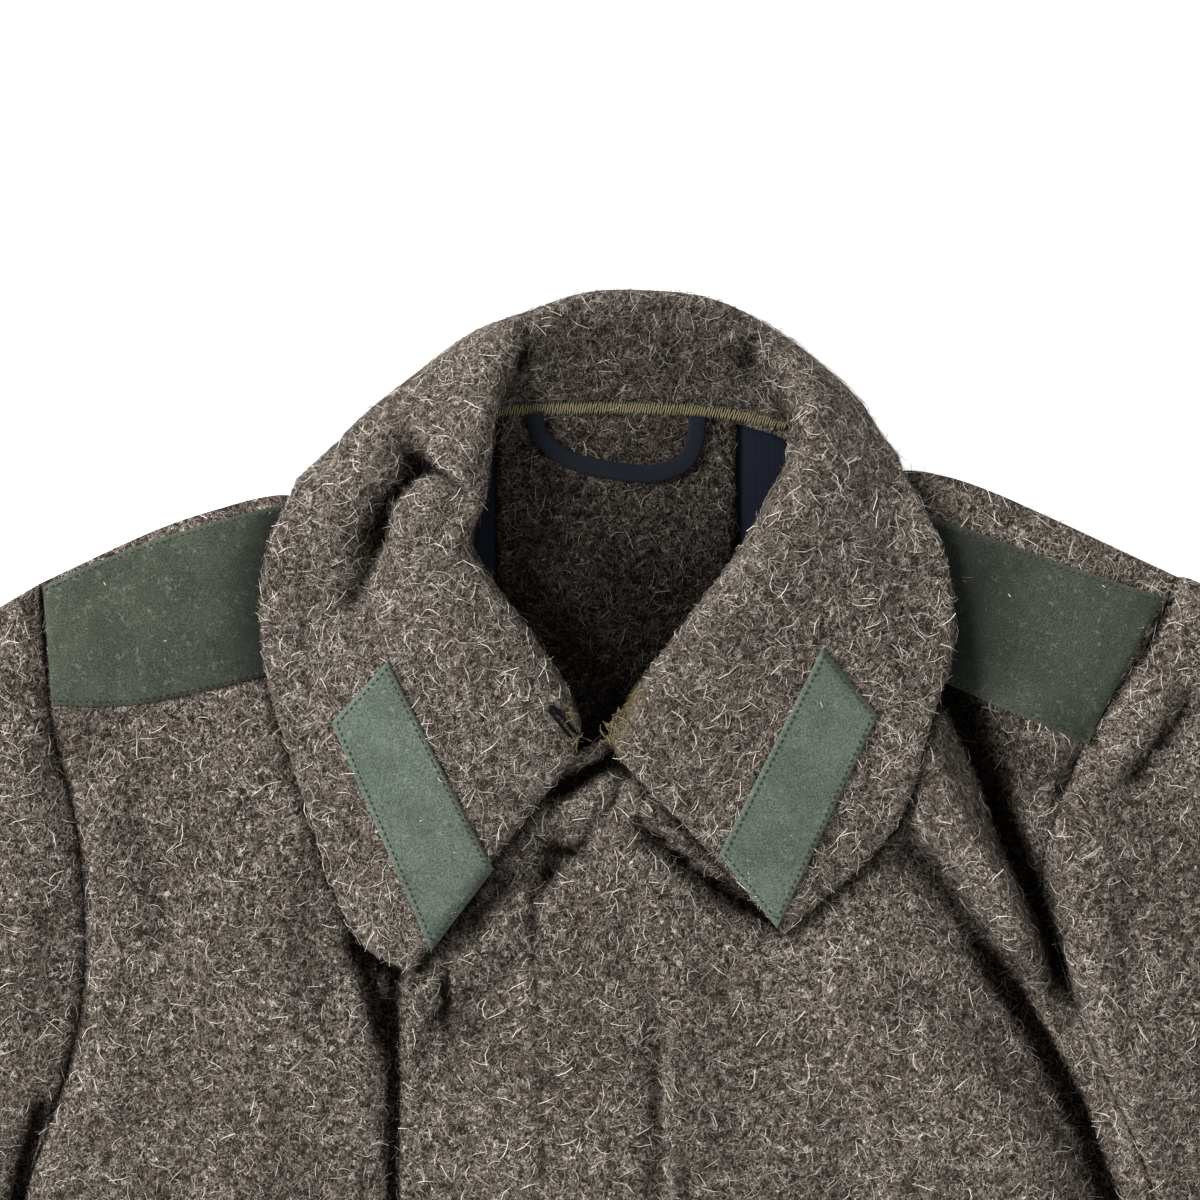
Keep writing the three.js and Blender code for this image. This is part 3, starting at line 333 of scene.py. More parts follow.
# Smaller creases that the solids leave out: they sink or lift the face, and dark says how much painted shade
# they hold. Going down a path, near is the side toward +x.
CREASES = Table("""
    from_x from_y bend_x bend_y to_x to_y near far height dark
    130 -4 158 -68 190 -140 9 3 -9 1.15
    160 -74 190 -124 204 -190 2.4 8 -10 1.1
    122 -36 156 -94 192 -166 3 12 5 0
    150 -24 172 -52 184 -92 16 12 -4 0.6
    160 -22 190 -70 204 -140 14 6 3 0
    120 -88 148 -130 192 -182 8 9 -8 0.8
    148 -136 214 -188 238 -340 2.2 9 -10 1.2
    190 -150 222 -196 250 -340 12 3 7 0
    166 -160 206 -214 232 -350 8 18 -6 0.25
    96 -170 142 -216 190 -330 26 34 5 0
    204 -62 195 -78 187 -91 2 3 -3 0.35
    30 -60 -20 -130 -40 -340 36 34 4 0
    10 -64 -4 -71 -26 -85 4.5 3 -7 1.4
    8 -58 -6 -63 -22 -74 3 3 2 -0.8
    13 -58 12 -92 -34 -126 3 4 -5 0.45
    -14 -106 -30 -122 -31 -148 4 5 -4 0.6
    6 -110 -14 -103 -28 -106 3 3.5 -2.6 0.5
    6 -80 34 -112 84 -142 1.5 7 -6.5 1.15
    8 -76 36 -102 76 -128 5 4 3.5 0
    -4 -88 -38 -118 -70 -154 7 8 -4.5 0.6
    -22 -132 -46 -160 -72 -190 7 9 -3.6 0.45
    -29 -112 -27 -186 -22 -262 1.4 1.4 -1.6 0.6
    -22 -262 -20 -640 -22 -1108 1.4 1.4 -1.6 0.4
    -64 -150 -66 -184 -62 -232 4 6 2.6 0
    -58 -240 -48 -330 -62 -440 6 8 2 0
    32 -150 31 -230 34 -420 3 9 3 0
    24 -144 23 -230 25 -400 4 5 -3.4 0.7
    -86.5 -92 -86.5 -260 -86.5 -420 2.5 4 -2.4 1.6
    -86.5 -290 -86.5 -450 -86.5 -640 2.5 4 -1.2 1.3
    -86.5 -380 -87 -760 -86.5 -1112 2.5 4 -2.4 1.3
    -88 -84 -94 -112 -88 -168 5 8 -2 1
    -92 -120 -98 -190 -90 -270 4 7 -1 0.35
    -80 -120 -80 -600 -80 -1112 5 5 2.5 0
    -112 -134 -94 -156 -88 -200 3 6 -2 0.9
    -232 -200 -240 -230 -252 -282 1.6 6 -3 1.2
    -64.5 -138 -65 -180 -64 -216 1.6 2.2 -1.6 0.6
    -60 -148 -68 -176 -82 -206 4 4.5 -2.5 0.55
    -92 -198 -76 -202 -56 -193 1.8 2.4 -2 0.5
    -62 -176 -46 -184 -30 -168 3 4 -2 0.4
    -206 -70 -186 -112 -176 -170 7 9 -3 0.25
    -116 -92 -124 -140 -112 -190 9 10 -3 0.25
    -170 -190 -180 -260 -172 -340 10 12 -3 0.25
    -100 -220 -108 -300 -98 -400 10 9 -2 0.2
    98 -180 112 -250 104 -360 9 12 -3.4 0.25
    160 -230 168 -320 182 -420 10 12 -3.4 0.25
    -210 -420 -236 -640 -270 -900 9 12 -3 0.2
    -160 -560 -172 -800 -196 -1080 9 12 -3 0.2
    150 -460 166 -700 186 -1000 9 12 -3 0.2
    224 -560 240 -800 272 -1060 9 12 -3 0.2
    254 -32 236 -62 212 -86 8 2 -5 0.7
    244 -30 228 -58 206 -82 5 6 3 0
    226 -100 214 -140 224 -190 9 7 -3 0.35
    -330 -110 -352 -170 -352 -240 8 10 -3 0.3
    -436 -250 -400 -300 -362 -322 6 8 -3.4 0.3
    -470 -310 -430 -366 -392 -380 6 8 -3.4 0.3
    334 -110 352 -180 346 -250 8 10 -3 0.3
    430 -250 398 -310 352 -326 6 8 -3.4 0.3
    462 -330 430 -384 388 -396 6 8 -3.4 0.3
""")

# The crumple where the collar's right side is pushed in, and the creases round its roll.
# Their dark column is painted shade in the creases.
COLLAR_CREASES = Table("""
    from_x from_y bend_x bend_y to_x to_y near far height dark
    -92 76 -72 58 -52 44 4 7 -6 0.6
    -72 57 -62 51 -49 41 1.8 1.8 -5 0.8
    -60 54 -90 50 -88 14 2.4 12 -12 1.1
    -89 36 -90 12 -112 -10 3 12 -8 0.8
    -57 44 -78 52 -78 16 9 8 6 0
    -76 74 -62 62 -46 47 8 8 4.5 0
    -120 30 -124 -10 -128 -50 7 9 -1.6 0.15
    -34 124 -30 106 -34 92 3 4 -2.2 0.5
    66 118 60 106 62 92 4 5 -1.8 0.3
    116 40 128 10 130 -30 6 8 -1.6 0.15
    100 92 94 80 90 66 5 6 -2 0.3
""")

# The collar from the right leaf's front edge round the neck to the left leaf's. Where
# under is 1 the fall is turned under and lies beneath the back.
COLLAR = Table("""
    neck_x neck_y neck_z roll_x roll_y roll_z mid_x mid_y mid_z edge_x edge_y edge_z under
    -13 -47.5 11 -8 -61 23 -42 -105 18 -79 -156 16 0
    -22.5 -34 11.2 -10 -44 30 -61 -84 22 -104 -139 13 0
    -36 -20 12.4 -21 -22 36 -75 -57 24 -124 -85 13 0
    -50 2 14.5 -41 4 39 -91 -19 25 -139 -35 14 0
    -57.5 22 16.5 -56.5 21 41 -99 8 28 -142 -4 16 0
    -58.5 42 16.5 -45 42 42 -98 32 29 -139 20 18 0
    -58.5 55 15 -43 56 41 -98 50 27 -133 36 19 0
    -58 64 14 -42 67 38 -98 62 21 -126 49.5 11 0.5
    -54 73.5 12.6 -41 80 34 -97 74 14 -117 53 4.5 1
    -47 79.8 11 -39 96 29 -84 87 8 -98 49 3.2 1
    -33 82.3 10 -33 118 24 -56 103 4 -62 43 3.2 1
    -8 82.5 10 -8 133 20 -16 110 3.5 -20 40 3.2 1
    20 82.5 10 20 135 20 20 110 3.5 20 40 3.2 1
    46 80.6 10 46 131 21 50 108 3.6 54 41 3.2 1
    64 77.9 10.2 66 119 24 76 101 4 78 43 3.2 1
    76 75.6 11 78 101 29 100 87 7.5 100 50 3.2 1
    82.5 73.2 12.6 82 88 33 110 78 12 113 60 4.5 1
    84.5 69 14 83 79 36 112 70 16 121 62 10 0.5
    83 63 14.6 83 70 38 113 62 21 129 49 19 0
    81 54 15.4 81 58 40 114 51 25 137 34 18 0
    75.5 40 16.5 71 42 41 111 34 27 145 14 17 0
    63 15 16 55 18 40 103 2 26 148 -20 15 0
    43 -11 13.5 34 -12 37 86 -36 24 136 -58 15 0
    22 -38 11.2 15 -38 32 64 -70 22 122 -98 14 0
    9 -54 11 3 -61 26 41 -100 20 77 -140 13 0
""")

COLLAR_FOLDS = Table("""
    from_x from_y bend_x bend_y to_x to_y near far height
    -92 76 -66 40 -46 26 10 13 -5
    -62 58 -92 18 -112 -22 14 12 -6
    -92 44 -76 54 -48 44 12 12 4
    70 56 104 22 124 -20 20 20 2.5
""")

TAB_RIGHT = plan_points("-88.2 -25.2, -112.1 -51.2, -70.6 -147, -44.5 -112.6")
TAB_LEFT = plan_points("92.4 -19.7, 49.6 -106.3, 74.3 -137.8, 115.9 -47.9")

# The long edges of the shoulder patches, from the sleeve to under the collar.
PATCH_RIGHT_TOP = plan_points("-235.5 6, -189 25, -131 40, -106 36")
PATCH_RIGHT_LOW = plan_points("-231.5 -44.5, -200.5 -44.5, -170 -39, -118 -26")
PATCH_LEFT_TOP = plan_points("238 1, 194 15.5, 153 30, 112 43")
PATCH_LEFT_LOW = plan_points("205.5 -61, 175 -48, 148 -36, 120 -24")

FACING = Table("""
    outer_x outer_y inner_x inner_y
    -43 78 57 77
    -43 20 57 20
    -43 -50 57 -50
    -43 -115 57 -115
""")
FACING_TOP = plan_points("-43 78, -10 81.5, 20 81.5, 57 77.6")
LINING_RIGHT = Table("""
    outer_x outer_y inner_x inner_y
    -150 12 -43.4 62
    -166 -40 -43.4 0
    -168 -120 -43.4 -100
    -170 -200 -43.4 -200
""")
LINING_RIGHT_TOP = plan_points("-150 12, -96 33, -43.4 62")
LINING_LEFT = Table("""
    outer_x outer_y inner_x inner_y
    156 16 57.4 74
    160 -40 57.4 0
    160 -120 57.4 -100
    162 -200 57.4 -200
""")
LINING_LEFT_TOP = plan_points("156 16, 120 31, 93 46, 80 66, 57.4 74")

LOOP_PATH = plan_points("-28 78, -24 67.5, -12 58.5, 5 54.5, 22 53, 35 57.5, 40 67, 41 77")
LOOP_WIDTH = 7.5
LOOP_THICKNESS = 2.4
LOOP_SQUARE = (0.6, 0.8)

OVERLOCK = plan_points("-42 79.5, -10 80.5, 20 80.5, 52 78.5, 78 74")
OVERLOCK_HEIGHT = 6
OVERLOCK_PITCH = 1.05

HOOK_CENTRE = (-15.5, -50.5)
HOOK_LENGTH = 15.5
HOOK_WIDTH = 2.7
HOOK_WIRE = 1.3
HOOK_TURN = 2.24
HOOK_DIVE = 2.2

# Tufts of loose olive thread at the collar's front: where they grow, the way that they
# point in degrees, how far that varies, their length and their number.
TUFTS = Table("""
    x y angle spread length count
    -11.5 -49 80 40 3.6 7
    -9.5 -57 -60 60 3.6 6
    8.5 -46 240 50 3.2 9
    5.5 -51 235 40 4.4 12
    3.5 -57 225 45 4.6 9
    -18 -60 200 70 4 3
    -31 -43 -80 8 17 1
""")
TUFT_SEED = 4
TUFT_LIFT = 1.6
THREAD_RADIUS = 0.22

STITCH_INSET = 2.1

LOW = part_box("back")[0]
SHIFT = np.array([
    LOW.x / MM - FRONT_RIGHT.rows[-1, 0],
    LOW.y / MM - FRONT_RIGHT.rows[-1, 1] + HEM_DROP,
    0,
])


# ---------- how the layers lie ----------

def edge_of(table, shoulder):
    """The coat's edge from a neck point over the shoulder and down the side."""
    top = shoulder.along(np.linspace(1, 0, SHOULDER_SAMPLES, endpoint=False))
    row = table.at(np.linspace(0, LAST_ROW, EDGE_SAMPLES))
    return np.concatenate([top, np.stack([row.outer_x, row.outer_y], -1)])


def nearest_on(path, x, y):
    """Distance to a plan path, the side of it, and how far along it the nearest point is."""
    start, way = path[:-1], np.diff(path, axis=0)
    px, py = x[..., None] - start[:, 0], y[..., None] - start[:, 1]
    t = np.clip((px * way[:, 0] + py * way[:, 1]) / (way ** 2).sum(-1), 0, 1)
    sx, sy = px - t * way[:, 0], py - t * way[:, 1]
    distance = np.hypot(sx, sy)
    best = distance.argmin(-1)[..., None]

    def pick(values):
        """The values at each point's nearest stretch of the path."""
        return np.take_along_axis(values, best, -1)[..., 0]

    side = np.sign(way[:, 0] * sy - way[:, 1] * sx)
    return pick(distance), pick(side), (best[..., 0] + pick(t)) / len(way)


EDGE_RIGHT = edge_of(FRONT_RIGHT, SHOULDER_RIGHT)
EDGE_LEFT = edge_of(FRONT_LEFT, SHOULDER_LEFT)


def edge_distance(x, y):
    """How far plan points lie inside the coat's shoulder, armhole and side edges."""
    right = nearest_on(EDGE_RIGHT, x, y)
    left = nearest_on(EDGE_LEFT, x, y)
    on_right = x < (EDGE_RIGHT[0, 0] + EDGE_LEFT[0, 0]) / 2
    return np.where(on_right, right[0] * right[1], -left[0] * left[1])


def fold_height(folds, x, y, column="height"):
    """The sum of a table's folds at plan points, or of another column by the same shape."""
    height = np.zeros(np.shape(x))
    t = np.linspace(0, 1, FOLD_PIECES + 1)[:, None]
    for fold in folds.each():
        start = np.array([fold.from_x, fold.from_y])
        bend = np.array([fold.bend_x, fold.bend_y])
        end = np.array([fold.to_x, fold.to_y])
        path = (1 - t) ** 2 * start + 2 * t * (1 - t) * bend + t ** 2 * end
        distance, side, along = nearest_on(path, x, y)
        width = np.where(side > 0, fold.near, fold.far)
        fade = smooth(along / FOLD_FADE) * smooth((1 - along) / FOLD_FADE)
        height += getattr(fold, column) * fade * np.exp(-((distance / width) ** 2))
    return height


# Waves of loose cloth: their lengths, the turn from each to the next and the first one's
# angle in radians, how much longer their bends are, and their height against their length.
WAVE_LENGTHS = (31, 44, 63, 88, 131)
WAVE_TURN = 2.4
WAVE_ANGLE = 0.6
WAVE_STRETCH = 1.7
WAVE_HEIGHT = 0.006


def unevenness(x, y):
    """Slow, small waves of thick cloth that lies loosely."""
    height = np.zeros(np.shape(x))
    for k, length in enumerate(WAVE_LENGTHS):
        angle = WAVE_TURN * k + WAVE_ANGLE
        along = (x * math.cos(angle) + y * math.sin(angle)) / length
        across = (y * math.cos(angle) - x * math.sin(angle)) / (WAVE_STRETCH * length)
        bend = 2 * np.sin(2 * math.pi * across + k)
        height += WAVE_HEIGHT * length * np.sin(2 * math.pi * along + bend)
    return height


def back_top(x, y):
    """The back rests on the surface, and rises over the collar's fall at the neck."""
    sides = smooth((BACK_LIFT_SIDE - np.abs(x - BACK_MIDDLE)) / BACK_LIFT_SIDE_RAMP)
    return WOOL + BACK_LIFT * smooth((y - BACK_LIFT_LOW) / BACK_LIFT_RAMP) * sides


def front_base(x, y):
    """The fronts lie on the back: close to it at the seams, with some air inside."""
    edge = edge_distance(x, y)
    from_neck = np.hypot(x - NECK_CENTRE[0], y - NECK_CENTRE[1])
    neck = NECK_RISE * smooth((NECK_RISE_FAR - from_neck) / NECK_RISE_RAMP)
    loft = LOFT * smooth(edge / LOFT_REACH) + neck * smooth(edge / NECK_RISE_EDGE)
    return back_top(x, y) + LAY_GAP + WOOL + loft


def flap_rise(x):
    """How far the fly's flap and its inner layers lift the left front."""
    return FLAP_RISE * smooth((FLAP_RISE_END - x) / FLAP_RISE_RAMP)


def seam_dip(x, y):
    """How far the cloth turns down into the armhole, shoulder and side seams."""
    return SEAM_DIP * np.exp(-((edge_distance(x, y) / SEAM_DIP_REACH) ** 2))


def relief(x, y):
    """The folds, creases and slow waves of the fronts and sleeves."""
    inside = smooth(edge_distance(x, y) / LOFT_REACH)
    return fold_height(FOLDS, x, y) + fold_height(CREASES, x, y) + unevenness(x, y) * inside


def inside_top(x, y):
    """The top of the back and of the facing and lining that lie on it."""
    lined = smooth((LINED_HALF - np.abs(x)) / LINED_RAMP) * smooth((y - LINED_LOW) / LINED_RAMP)
    faced = smooth((FACED_HALF - np.abs(x - FACED_MIDDLE)) / LINED_RAMP)
    faced = faced * smooth((y - FACED_LOW) / LINED_RAMP)
    return back_top(x, y) + np.maximum((LAY_GAP + COTTON) * lined, (LAY_GAP + WOOL) * faced)


def front_right_top(x, y):
    """The right front's face, plain where it runs on under the flap."""
    plain = smooth((x - PLAIN_START) / PLAIN_RAMP)
    lift = np.maximum(relief(x, y), TROUGH_LIMIT) * (1 - plain)
    return front_base(x, y) + lift - seam_dip(x, y)


def front_left_top(x, y):
    """The left front's face, with shallower troughs where it laps the right one."""
    lapped = smooth((LAP_END - x) / LAP_RAMP)
    limit = mix(TROUGH_LIMIT, LAP_TROUGH_LIMIT, lapped)
    lift = np.maximum(relief(x, y), limit)
    return front_base(x, y) + flap_rise(x) + lift - seam_dip(x, y)


def support_top(x, y):
    """The topmost cloth that the collar's fall lies on."""
    flap_x, flap_y, ramp = FLAP_UNDER_COLLAR
    patch_x, ramp_x, patch_y, ramp_y = PATCH_UNDER_COLLAR
    flap = smooth((x - flap_x) / ramp) * smooth((flap_y - y) / ramp)
    on_patch = smooth((np.abs(x) - patch_x) / ramp_x) * smooth((y - patch_y) / ramp_y)
    rise = np.where(x < 0, FLAP_RISE * flap, flap_rise(x))
    folds = np.maximum(fold_height(FOLDS, x, y), 0)
    return front_base(x, y) + folds + rise + (FELT + 2 * SEAM_GAP) * on_patch


# ---------- closed walls ----------

def rim(outer, thickness, distance, radius):
    """Moves a wall's faces together along its free edges, so that they round off."""
    reach = np.clip(distance / radius, 0, 1)
    share = np.sqrt(1 - (1 - reach) ** 2)
    half = np.maximum(thickness * share, THINNEST / 2) / 2
    middle = outer - thickness / 2
    return middle + half, middle - half


def wall_faces(rows, columns, ring):
    """Quads of a closed wall: its outer grid, its inner grid and the rims between."""
    across = columns if ring else columns - 1
    i, j = np.meshgrid(np.arange(across), np.arange(rows - 1))
    here, right = j * columns + i, j * columns + (i + 1) % columns
    outer = np.stack([here, right, right + columns, here + columns], -1).reshape(-1, 4)
    count = rows * columns
    first, last = np.arange(columns), np.arange(columns) + (rows - 1) * columns
    if ring:
        borders = [np.append(first, first[0]), np.append(last, last[0])[::-1]]
    else:
        right_side = np.arange(1, rows) * columns + columns - 1
        left_side = np.arange(rows - 2, -1, -1) * columns
        borders = [np.concatenate([first, right_side, last[::-1][1:], left_side])]
    rims = [np.stack([b[1:], b[:-1], b[:-1] + count, b[1:] + count], -1) for b in borders]
    return np.concatenate([outer, outer[:, ::-1] + count, *rims])


def stack(x, y, z):
    """Points from their coordinates."""
    return np.stack([x, y, z], -1)


def signed_volume(points, quads):
    """Above zero where the quads point outwards."""
    a, b, c, d = (points[quads[:, k]] for k in range(4))
    return (a * np.cross(b, c)).sum() + (a * np.cross(c, d)).sum()


def add_object(name, data):
    """A new object in the scene, at the origin."""
    made = bpy.data.objects.new(name, data)
    bpy.context.scene.collection.objects.link(made)
    return made


def mesh_object(name, points, edges, faces):
    """An object with a mesh from plan millimetres."""
    mesh = bpy.data.meshes.new(name)
    mesh.from_pydata(((points + SHIFT) * MM).tolist(), edges, [list(map(int, face)) for face in faces])
    return add_object(name, mesh)


def solid_object(name, points, faces, look):
    """A smooth closed object with its material."""
    made = mesh_object(name, points, [], faces)
    made.data.shade_smooth()
    made.data.materials.append(look)
    return made


def store(made, name, values):
    """Keeps a number for each vertex, for the materials and the fuzz to read."""
    attribute = made.data.attributes.new(name, "FLOAT", "POINT")
    attribute.data.foreach_set("value", np.asarray(values, np.float32).ravel())


def wall(name, outer, inner, look, ring=False, fuzz=None, stain=None, dark=None):
    """A closed wall of cloth from two grids of points."""
    rows, columns = outer.shape[:2]
    points = np.concatenate([outer.reshape(-1, 3), inner.reshape(-1, 3)])
    faces = wall_faces(rows, columns, ring)
    if signed_volume(points, faces) < 0:
        faces = faces[:, ::-1]
    made = solid_object(name, points, faces, look)
    inside = np.zeros(rows * columns)
    for label, values in (("fuzz", fuzz), ("stain", stain), ("dark", dark)):
        if values is not None:
            store(made, label, np.concatenate([np.ravel(values), inside]))
    return made


def shares(count, size=None, near_start=False, near_end=False):
    """Even shares from 0 to 1, with closer ones in the rounded edge at either end."""
    parts = [np.linspace(0, 1, count + 1)]
    if near_start:
        parts.append(np.array(EDGE_RING) / size)
    if near_end:
        parts.append(1 - np.array(EDGE_RING) / size)
    return np.unique(np.concatenate(parts).round(6))


def grid_size(grid, ring=False):
    """The longest way across and down a grid of points, and its area, in millimetres."""
    whole = np.concatenate([grid, grid[:, :1]], 1) if ring else grid
    across = np.linalg.norm(np.diff(whole, axis=1), axis=-1)
    down = np.linalg.norm(np.diff(whole, axis=0), axis=-1)
    a, b = whole[1:, 1:] - whole[:-1, :-1], whole[1:, :-1] - whole[:-1, 1:]
    area = np.linalg.norm(np.cross(a, b), axis=-1).sum() / 2
    return across.sum(1).max(), down.sum(0).max(), area


def dress(piece, node, grid, ring=False):
    """Puts a piece of cloth in its solid's place and hides the solid."""
    width, length, area = grid_size(grid, ring)
    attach(piece, BODY)
    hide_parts(node)


# ---------- fibres and shade by place ----------

# Fibres stand thickly above this line and within this far of the middle.
FUZZ_LOW = -290
FUZZ_FAR = 290
FUZZ_RAMP = 30
FUZZ_SPARSE = 0.05

# Painted shade in the seams, which fades on the left side below the shoulder and at the top.
SEAM_PAINTED_SHADE = 0.75
SEAM_PAINTED_SHADE_REACH = 2.2
SEAM_TOP = 8
SEAM_TOP_RAMP = 10
SEAM_FADE = 0.75
SEAM_FADE_FROM = (120, -20)
SEAM_FADE_RAMP = 60

# Painted shade along the collar's edge, where it lies on the fronts.
CONTACT_PAINTED_SHADE = 0.75
CONTACT_REACH = 4.5
COLLAR_EDGE = np.concatenate([
    COLLAR.rows[0, [0, 1, 3, 4, 6, 7]].reshape(3, 2),
    COLLAR.along(np.linspace(0, 1, 90))[:, [9, 10]],
    COLLAR.rows[-1, [6, 7, 3, 4, 0, 1]].reshape(3, 2),
])


def fuzz_weight(x, y):
    """How thickly the fibres stand: fully on the chest and shoulders, sparser further out."""
    near = smooth((y - FUZZ_LOW) / FUZZ_RAMP) * smooth((FUZZ_FAR - np.abs(x)) / FUZZ_RAMP)
    return mix(FUZZ_SPARSE, 1, near)


def painted_shade(x, y):
    """How much painted shade the cloth's colour takes in its creases and seams, and along the collar's edge.
    """
    left, low = SEAM_FADE_FROM
    # Painted shade in the seams, weaker on the left side below the shoulder and at the top.
    wear_and_seam_shade = 1 - SEAM_FADE * smooth((x - left) / SEAM_FADE_RAMP) * smooth((low - y) / SEAM_FADE_RAMP)
    wear_and_seam_shade = wear_and_seam_shade * smooth((SEAM_TOP - y) / SEAM_TOP_RAMP)
    seam = SEAM_PAINTED_SHADE * wear_and_seam_shade * np.exp(-((edge_distance(x, y) / SEAM_PAINTED_SHADE_REACH) ** 2))
    # Painted shade under the collar's edge, where it lies close on the fronts.
    contact = CONTACT_PAINTED_SHADE * np.exp(-((nearest_on(COLLAR_EDGE, x, y)[0] / CONTACT_REACH) ** 2))
    return smooth(fold_height(CREASES, x, y, "dark") + seam + contact)


# ---------- fronts and back ----------

# Rows of a panel's grid, closer at the underarm and in the hem's rounded edge.
BODY_ROWS = np.unique(np.concatenate([
    np.linspace(0, UNDERARM_ROW, 88),
    np.linspace(UNDERARM_ROW, UNDERARM_ROW + 2, 46),
    np.linspace(UNDERARM_ROW + 2, LAST_ROW, 34),
    LAST_ROW - np.array([0.018, 0.01, 0.004, 0.0015]),
]))
FRONT_COLUMNS = {"front_right": 112, "front_left": 136}
FRONT_WIDTH = 300
HEM_ROW_LENGTH = 225

# The right front's columns under the flap are thinned to one in three.
HIDDEN_START = 0.72
HIDDEN_END = 0.98
HIDDEN_STEP = 3
PANEL_EDGE = 1.5
FLAP_EDGE = 2.6


def panel_plan(table, top_edge, across, row):
    """Plan points of a panel between its outer and inner edges, bent to its top edge."""
    level = table.at(row)
    first = table.named(table.rows[0])
    top = top_edge.along(across)
    fade = 1 - smooth(row / TOP_EDGE_ROWS)[:, None]
    x = mix(level.outer_x[:, None], level.inner_x[:, None], across)
    y = mix(level.outer_y[:, None], level.inner_y[:, None], across)
    x = x + fade * (top[:, 0] - mix(first.outer_x, first.inner_x, across))
    y = y + fade * (top[:, 1] - mix(first.outer_y, first.inner_y, across))
    return x, y


def hem_distance(row):
    """How far down rows lie from the hem, roughly, in millimetres."""
    return (LAST_ROW - row)[:, None] * HEM_ROW_LENGTH


def make_front(name, node, table, shoulder, top, edge_radius):
    """One front: a wall of wool whose face is top, with soft edges at its opening and hem."""
    across = shares(FRONT_COLUMNS[node], FRONT_WIDTH, near_end=True)
    if node == "front_right":
        hidden = across[(across > HIDDEN_START) & (across < HIDDEN_END)]
        across = np.setdiff1d(across, np.setdiff1d(hidden, hidden[::HIDDEN_STEP]))
    x, y = panel_plan(table, shoulder, across, BODY_ROWS)
    level = table.at(BODY_ROWS)
    width = np.hypot(level.outer_x - level.inner_x, level.outer_y - level.inner_y)[:, None]
    edge = np.minimum((1 - across) * width, hem_distance(BODY_ROWS) * np.ones_like(x))
    high, low = rim(top(x, y), WOOL, edge, edge_radius)
    floor = inside_top(x, y) + SEAM_GAP
    if node == "front_left":
        floor = np.where(x < RIGHT_FRONT_EDGE + LAP_MARGIN, front_base(x, y) + SEAM_GAP, floor)
    low = np.maximum(low, floor)
    high = np.maximum(high, low + THINNEST)
    outer, inner = stack(x, y, high), stack(x, y, low)
    fuzz, dark = fuzz_weight(x, y), painted_shade(x, y)
    piece = wall(name, outer, inner, material("brushed_wool"), fuzz=fuzz, dark=dark)
    dress(piece, node, outer)


def make_back():
    """The back: one panel from the neck to the hem, flat on the surface."""
    share = np.linspace(0, 1, 9)
    neck = BACK_NECK.along(np.linspace(0, 1, 7))
    top = np.concatenate([
        SHOULDER_RIGHT.along(share)[:-1], neck[:-1], SHOULDER_LEFT.along(1 - share),
    ])
    row = BODY_ROWS[::2]
    right, left = FRONT_RIGHT.at(row), FRONT_LEFT.at(row)
    start, end = FRONT_RIGHT.rows[0], FRONT_LEFT.rows[0]
    t = (top[:, 0] - start[0]) / (end[0] - start[0])
    fade = 1 - smooth(row / TOP_EDGE_ROWS)[:, None]
    low = smooth((row - UNDERARM_ROW) / (LAST_ROW - UNDERARM_ROW))[:, None]
    x = mix(right.outer_x[:, None], left.outer_x[:, None], t)
    y = mix(right.outer_y[:, None], left.outer_y[:, None], t)
    y = y + fade * (top[:, 1] - mix(start[1], end[1], t)) - HEM_DROP * low * 4 * t * (1 - t)
    high, low = rim(back_top(x, y), WOOL, hem_distance(row) * np.ones_like(x), PANEL_EDGE)
    outer, inner = stack(x, y, high), stack(x, y, low)
    piece = wall("back_cloth", outer, inner, material("brushed_wool"))
    dress(piece, "back", outer)


def make_fronts():
    """The fronts: the right one below, and the left one, with the fly's flap, on top."""
    make_front("front_right_cloth", "front_right", FRONT_RIGHT, SHOULDER_RIGHT,
               front_right_top, PANEL_EDGE)
    make_front("front_left_cloth", "front_left", FRONT_LEFT, SHOULDER_LEFT,
               front_left_top, FLAP_EDGE)


# ---------- sleeves ----------

# Steps round the upper and lower half of a sleeve, its rows, how much closer the rows
# are at the armhole, and how even the upper steps are.
UPPER_STEPS = 64
LOWER_STEPS = 22
SLEEVE_ROWS = 92
SLEEVE_ROW_POWER = 1.25
UPPER_EVENNESS = 0.25
ARMHOLE_LENGTH = 242


def sleeve_plan(body, table, t, index):
    """Plan points of a sleeve: its first ring follows the armhole, the next ones straighten."""
    ring = table.at(index)
    hole = body.at(UNDERARM_ROW * t)
    before, after = (body.at(UNDERARM_ROW * np.clip(t + step, 0, 1)) for step in (-0.01, 0.01))
    dx, dy = after.outer_x - before.outer_x, after.outer_y - before.outer_y
    out = np.sign(body.rows[0, 0]) / np.hypot(dx, dy)
    first = table.named(table.rows[0])
    bow_x = hole.outer_x - mix(first.outer_x, first.inner_x, t)
    bow_y = hole.outer_y - mix(first.outer_y, first.inner_y, t)
    x = mix(ring.outer_x[:, None], ring.inner_x[:, None], t) + ring.bow[:, None] * bow_x
    y = mix(ring.outer_y[:, None], ring.inner_y[:, None], t) + ring.bow[:, None] * bow_y
    return x - SEAM_GAP * dy * out, y + SEAM_GAP * dx * out


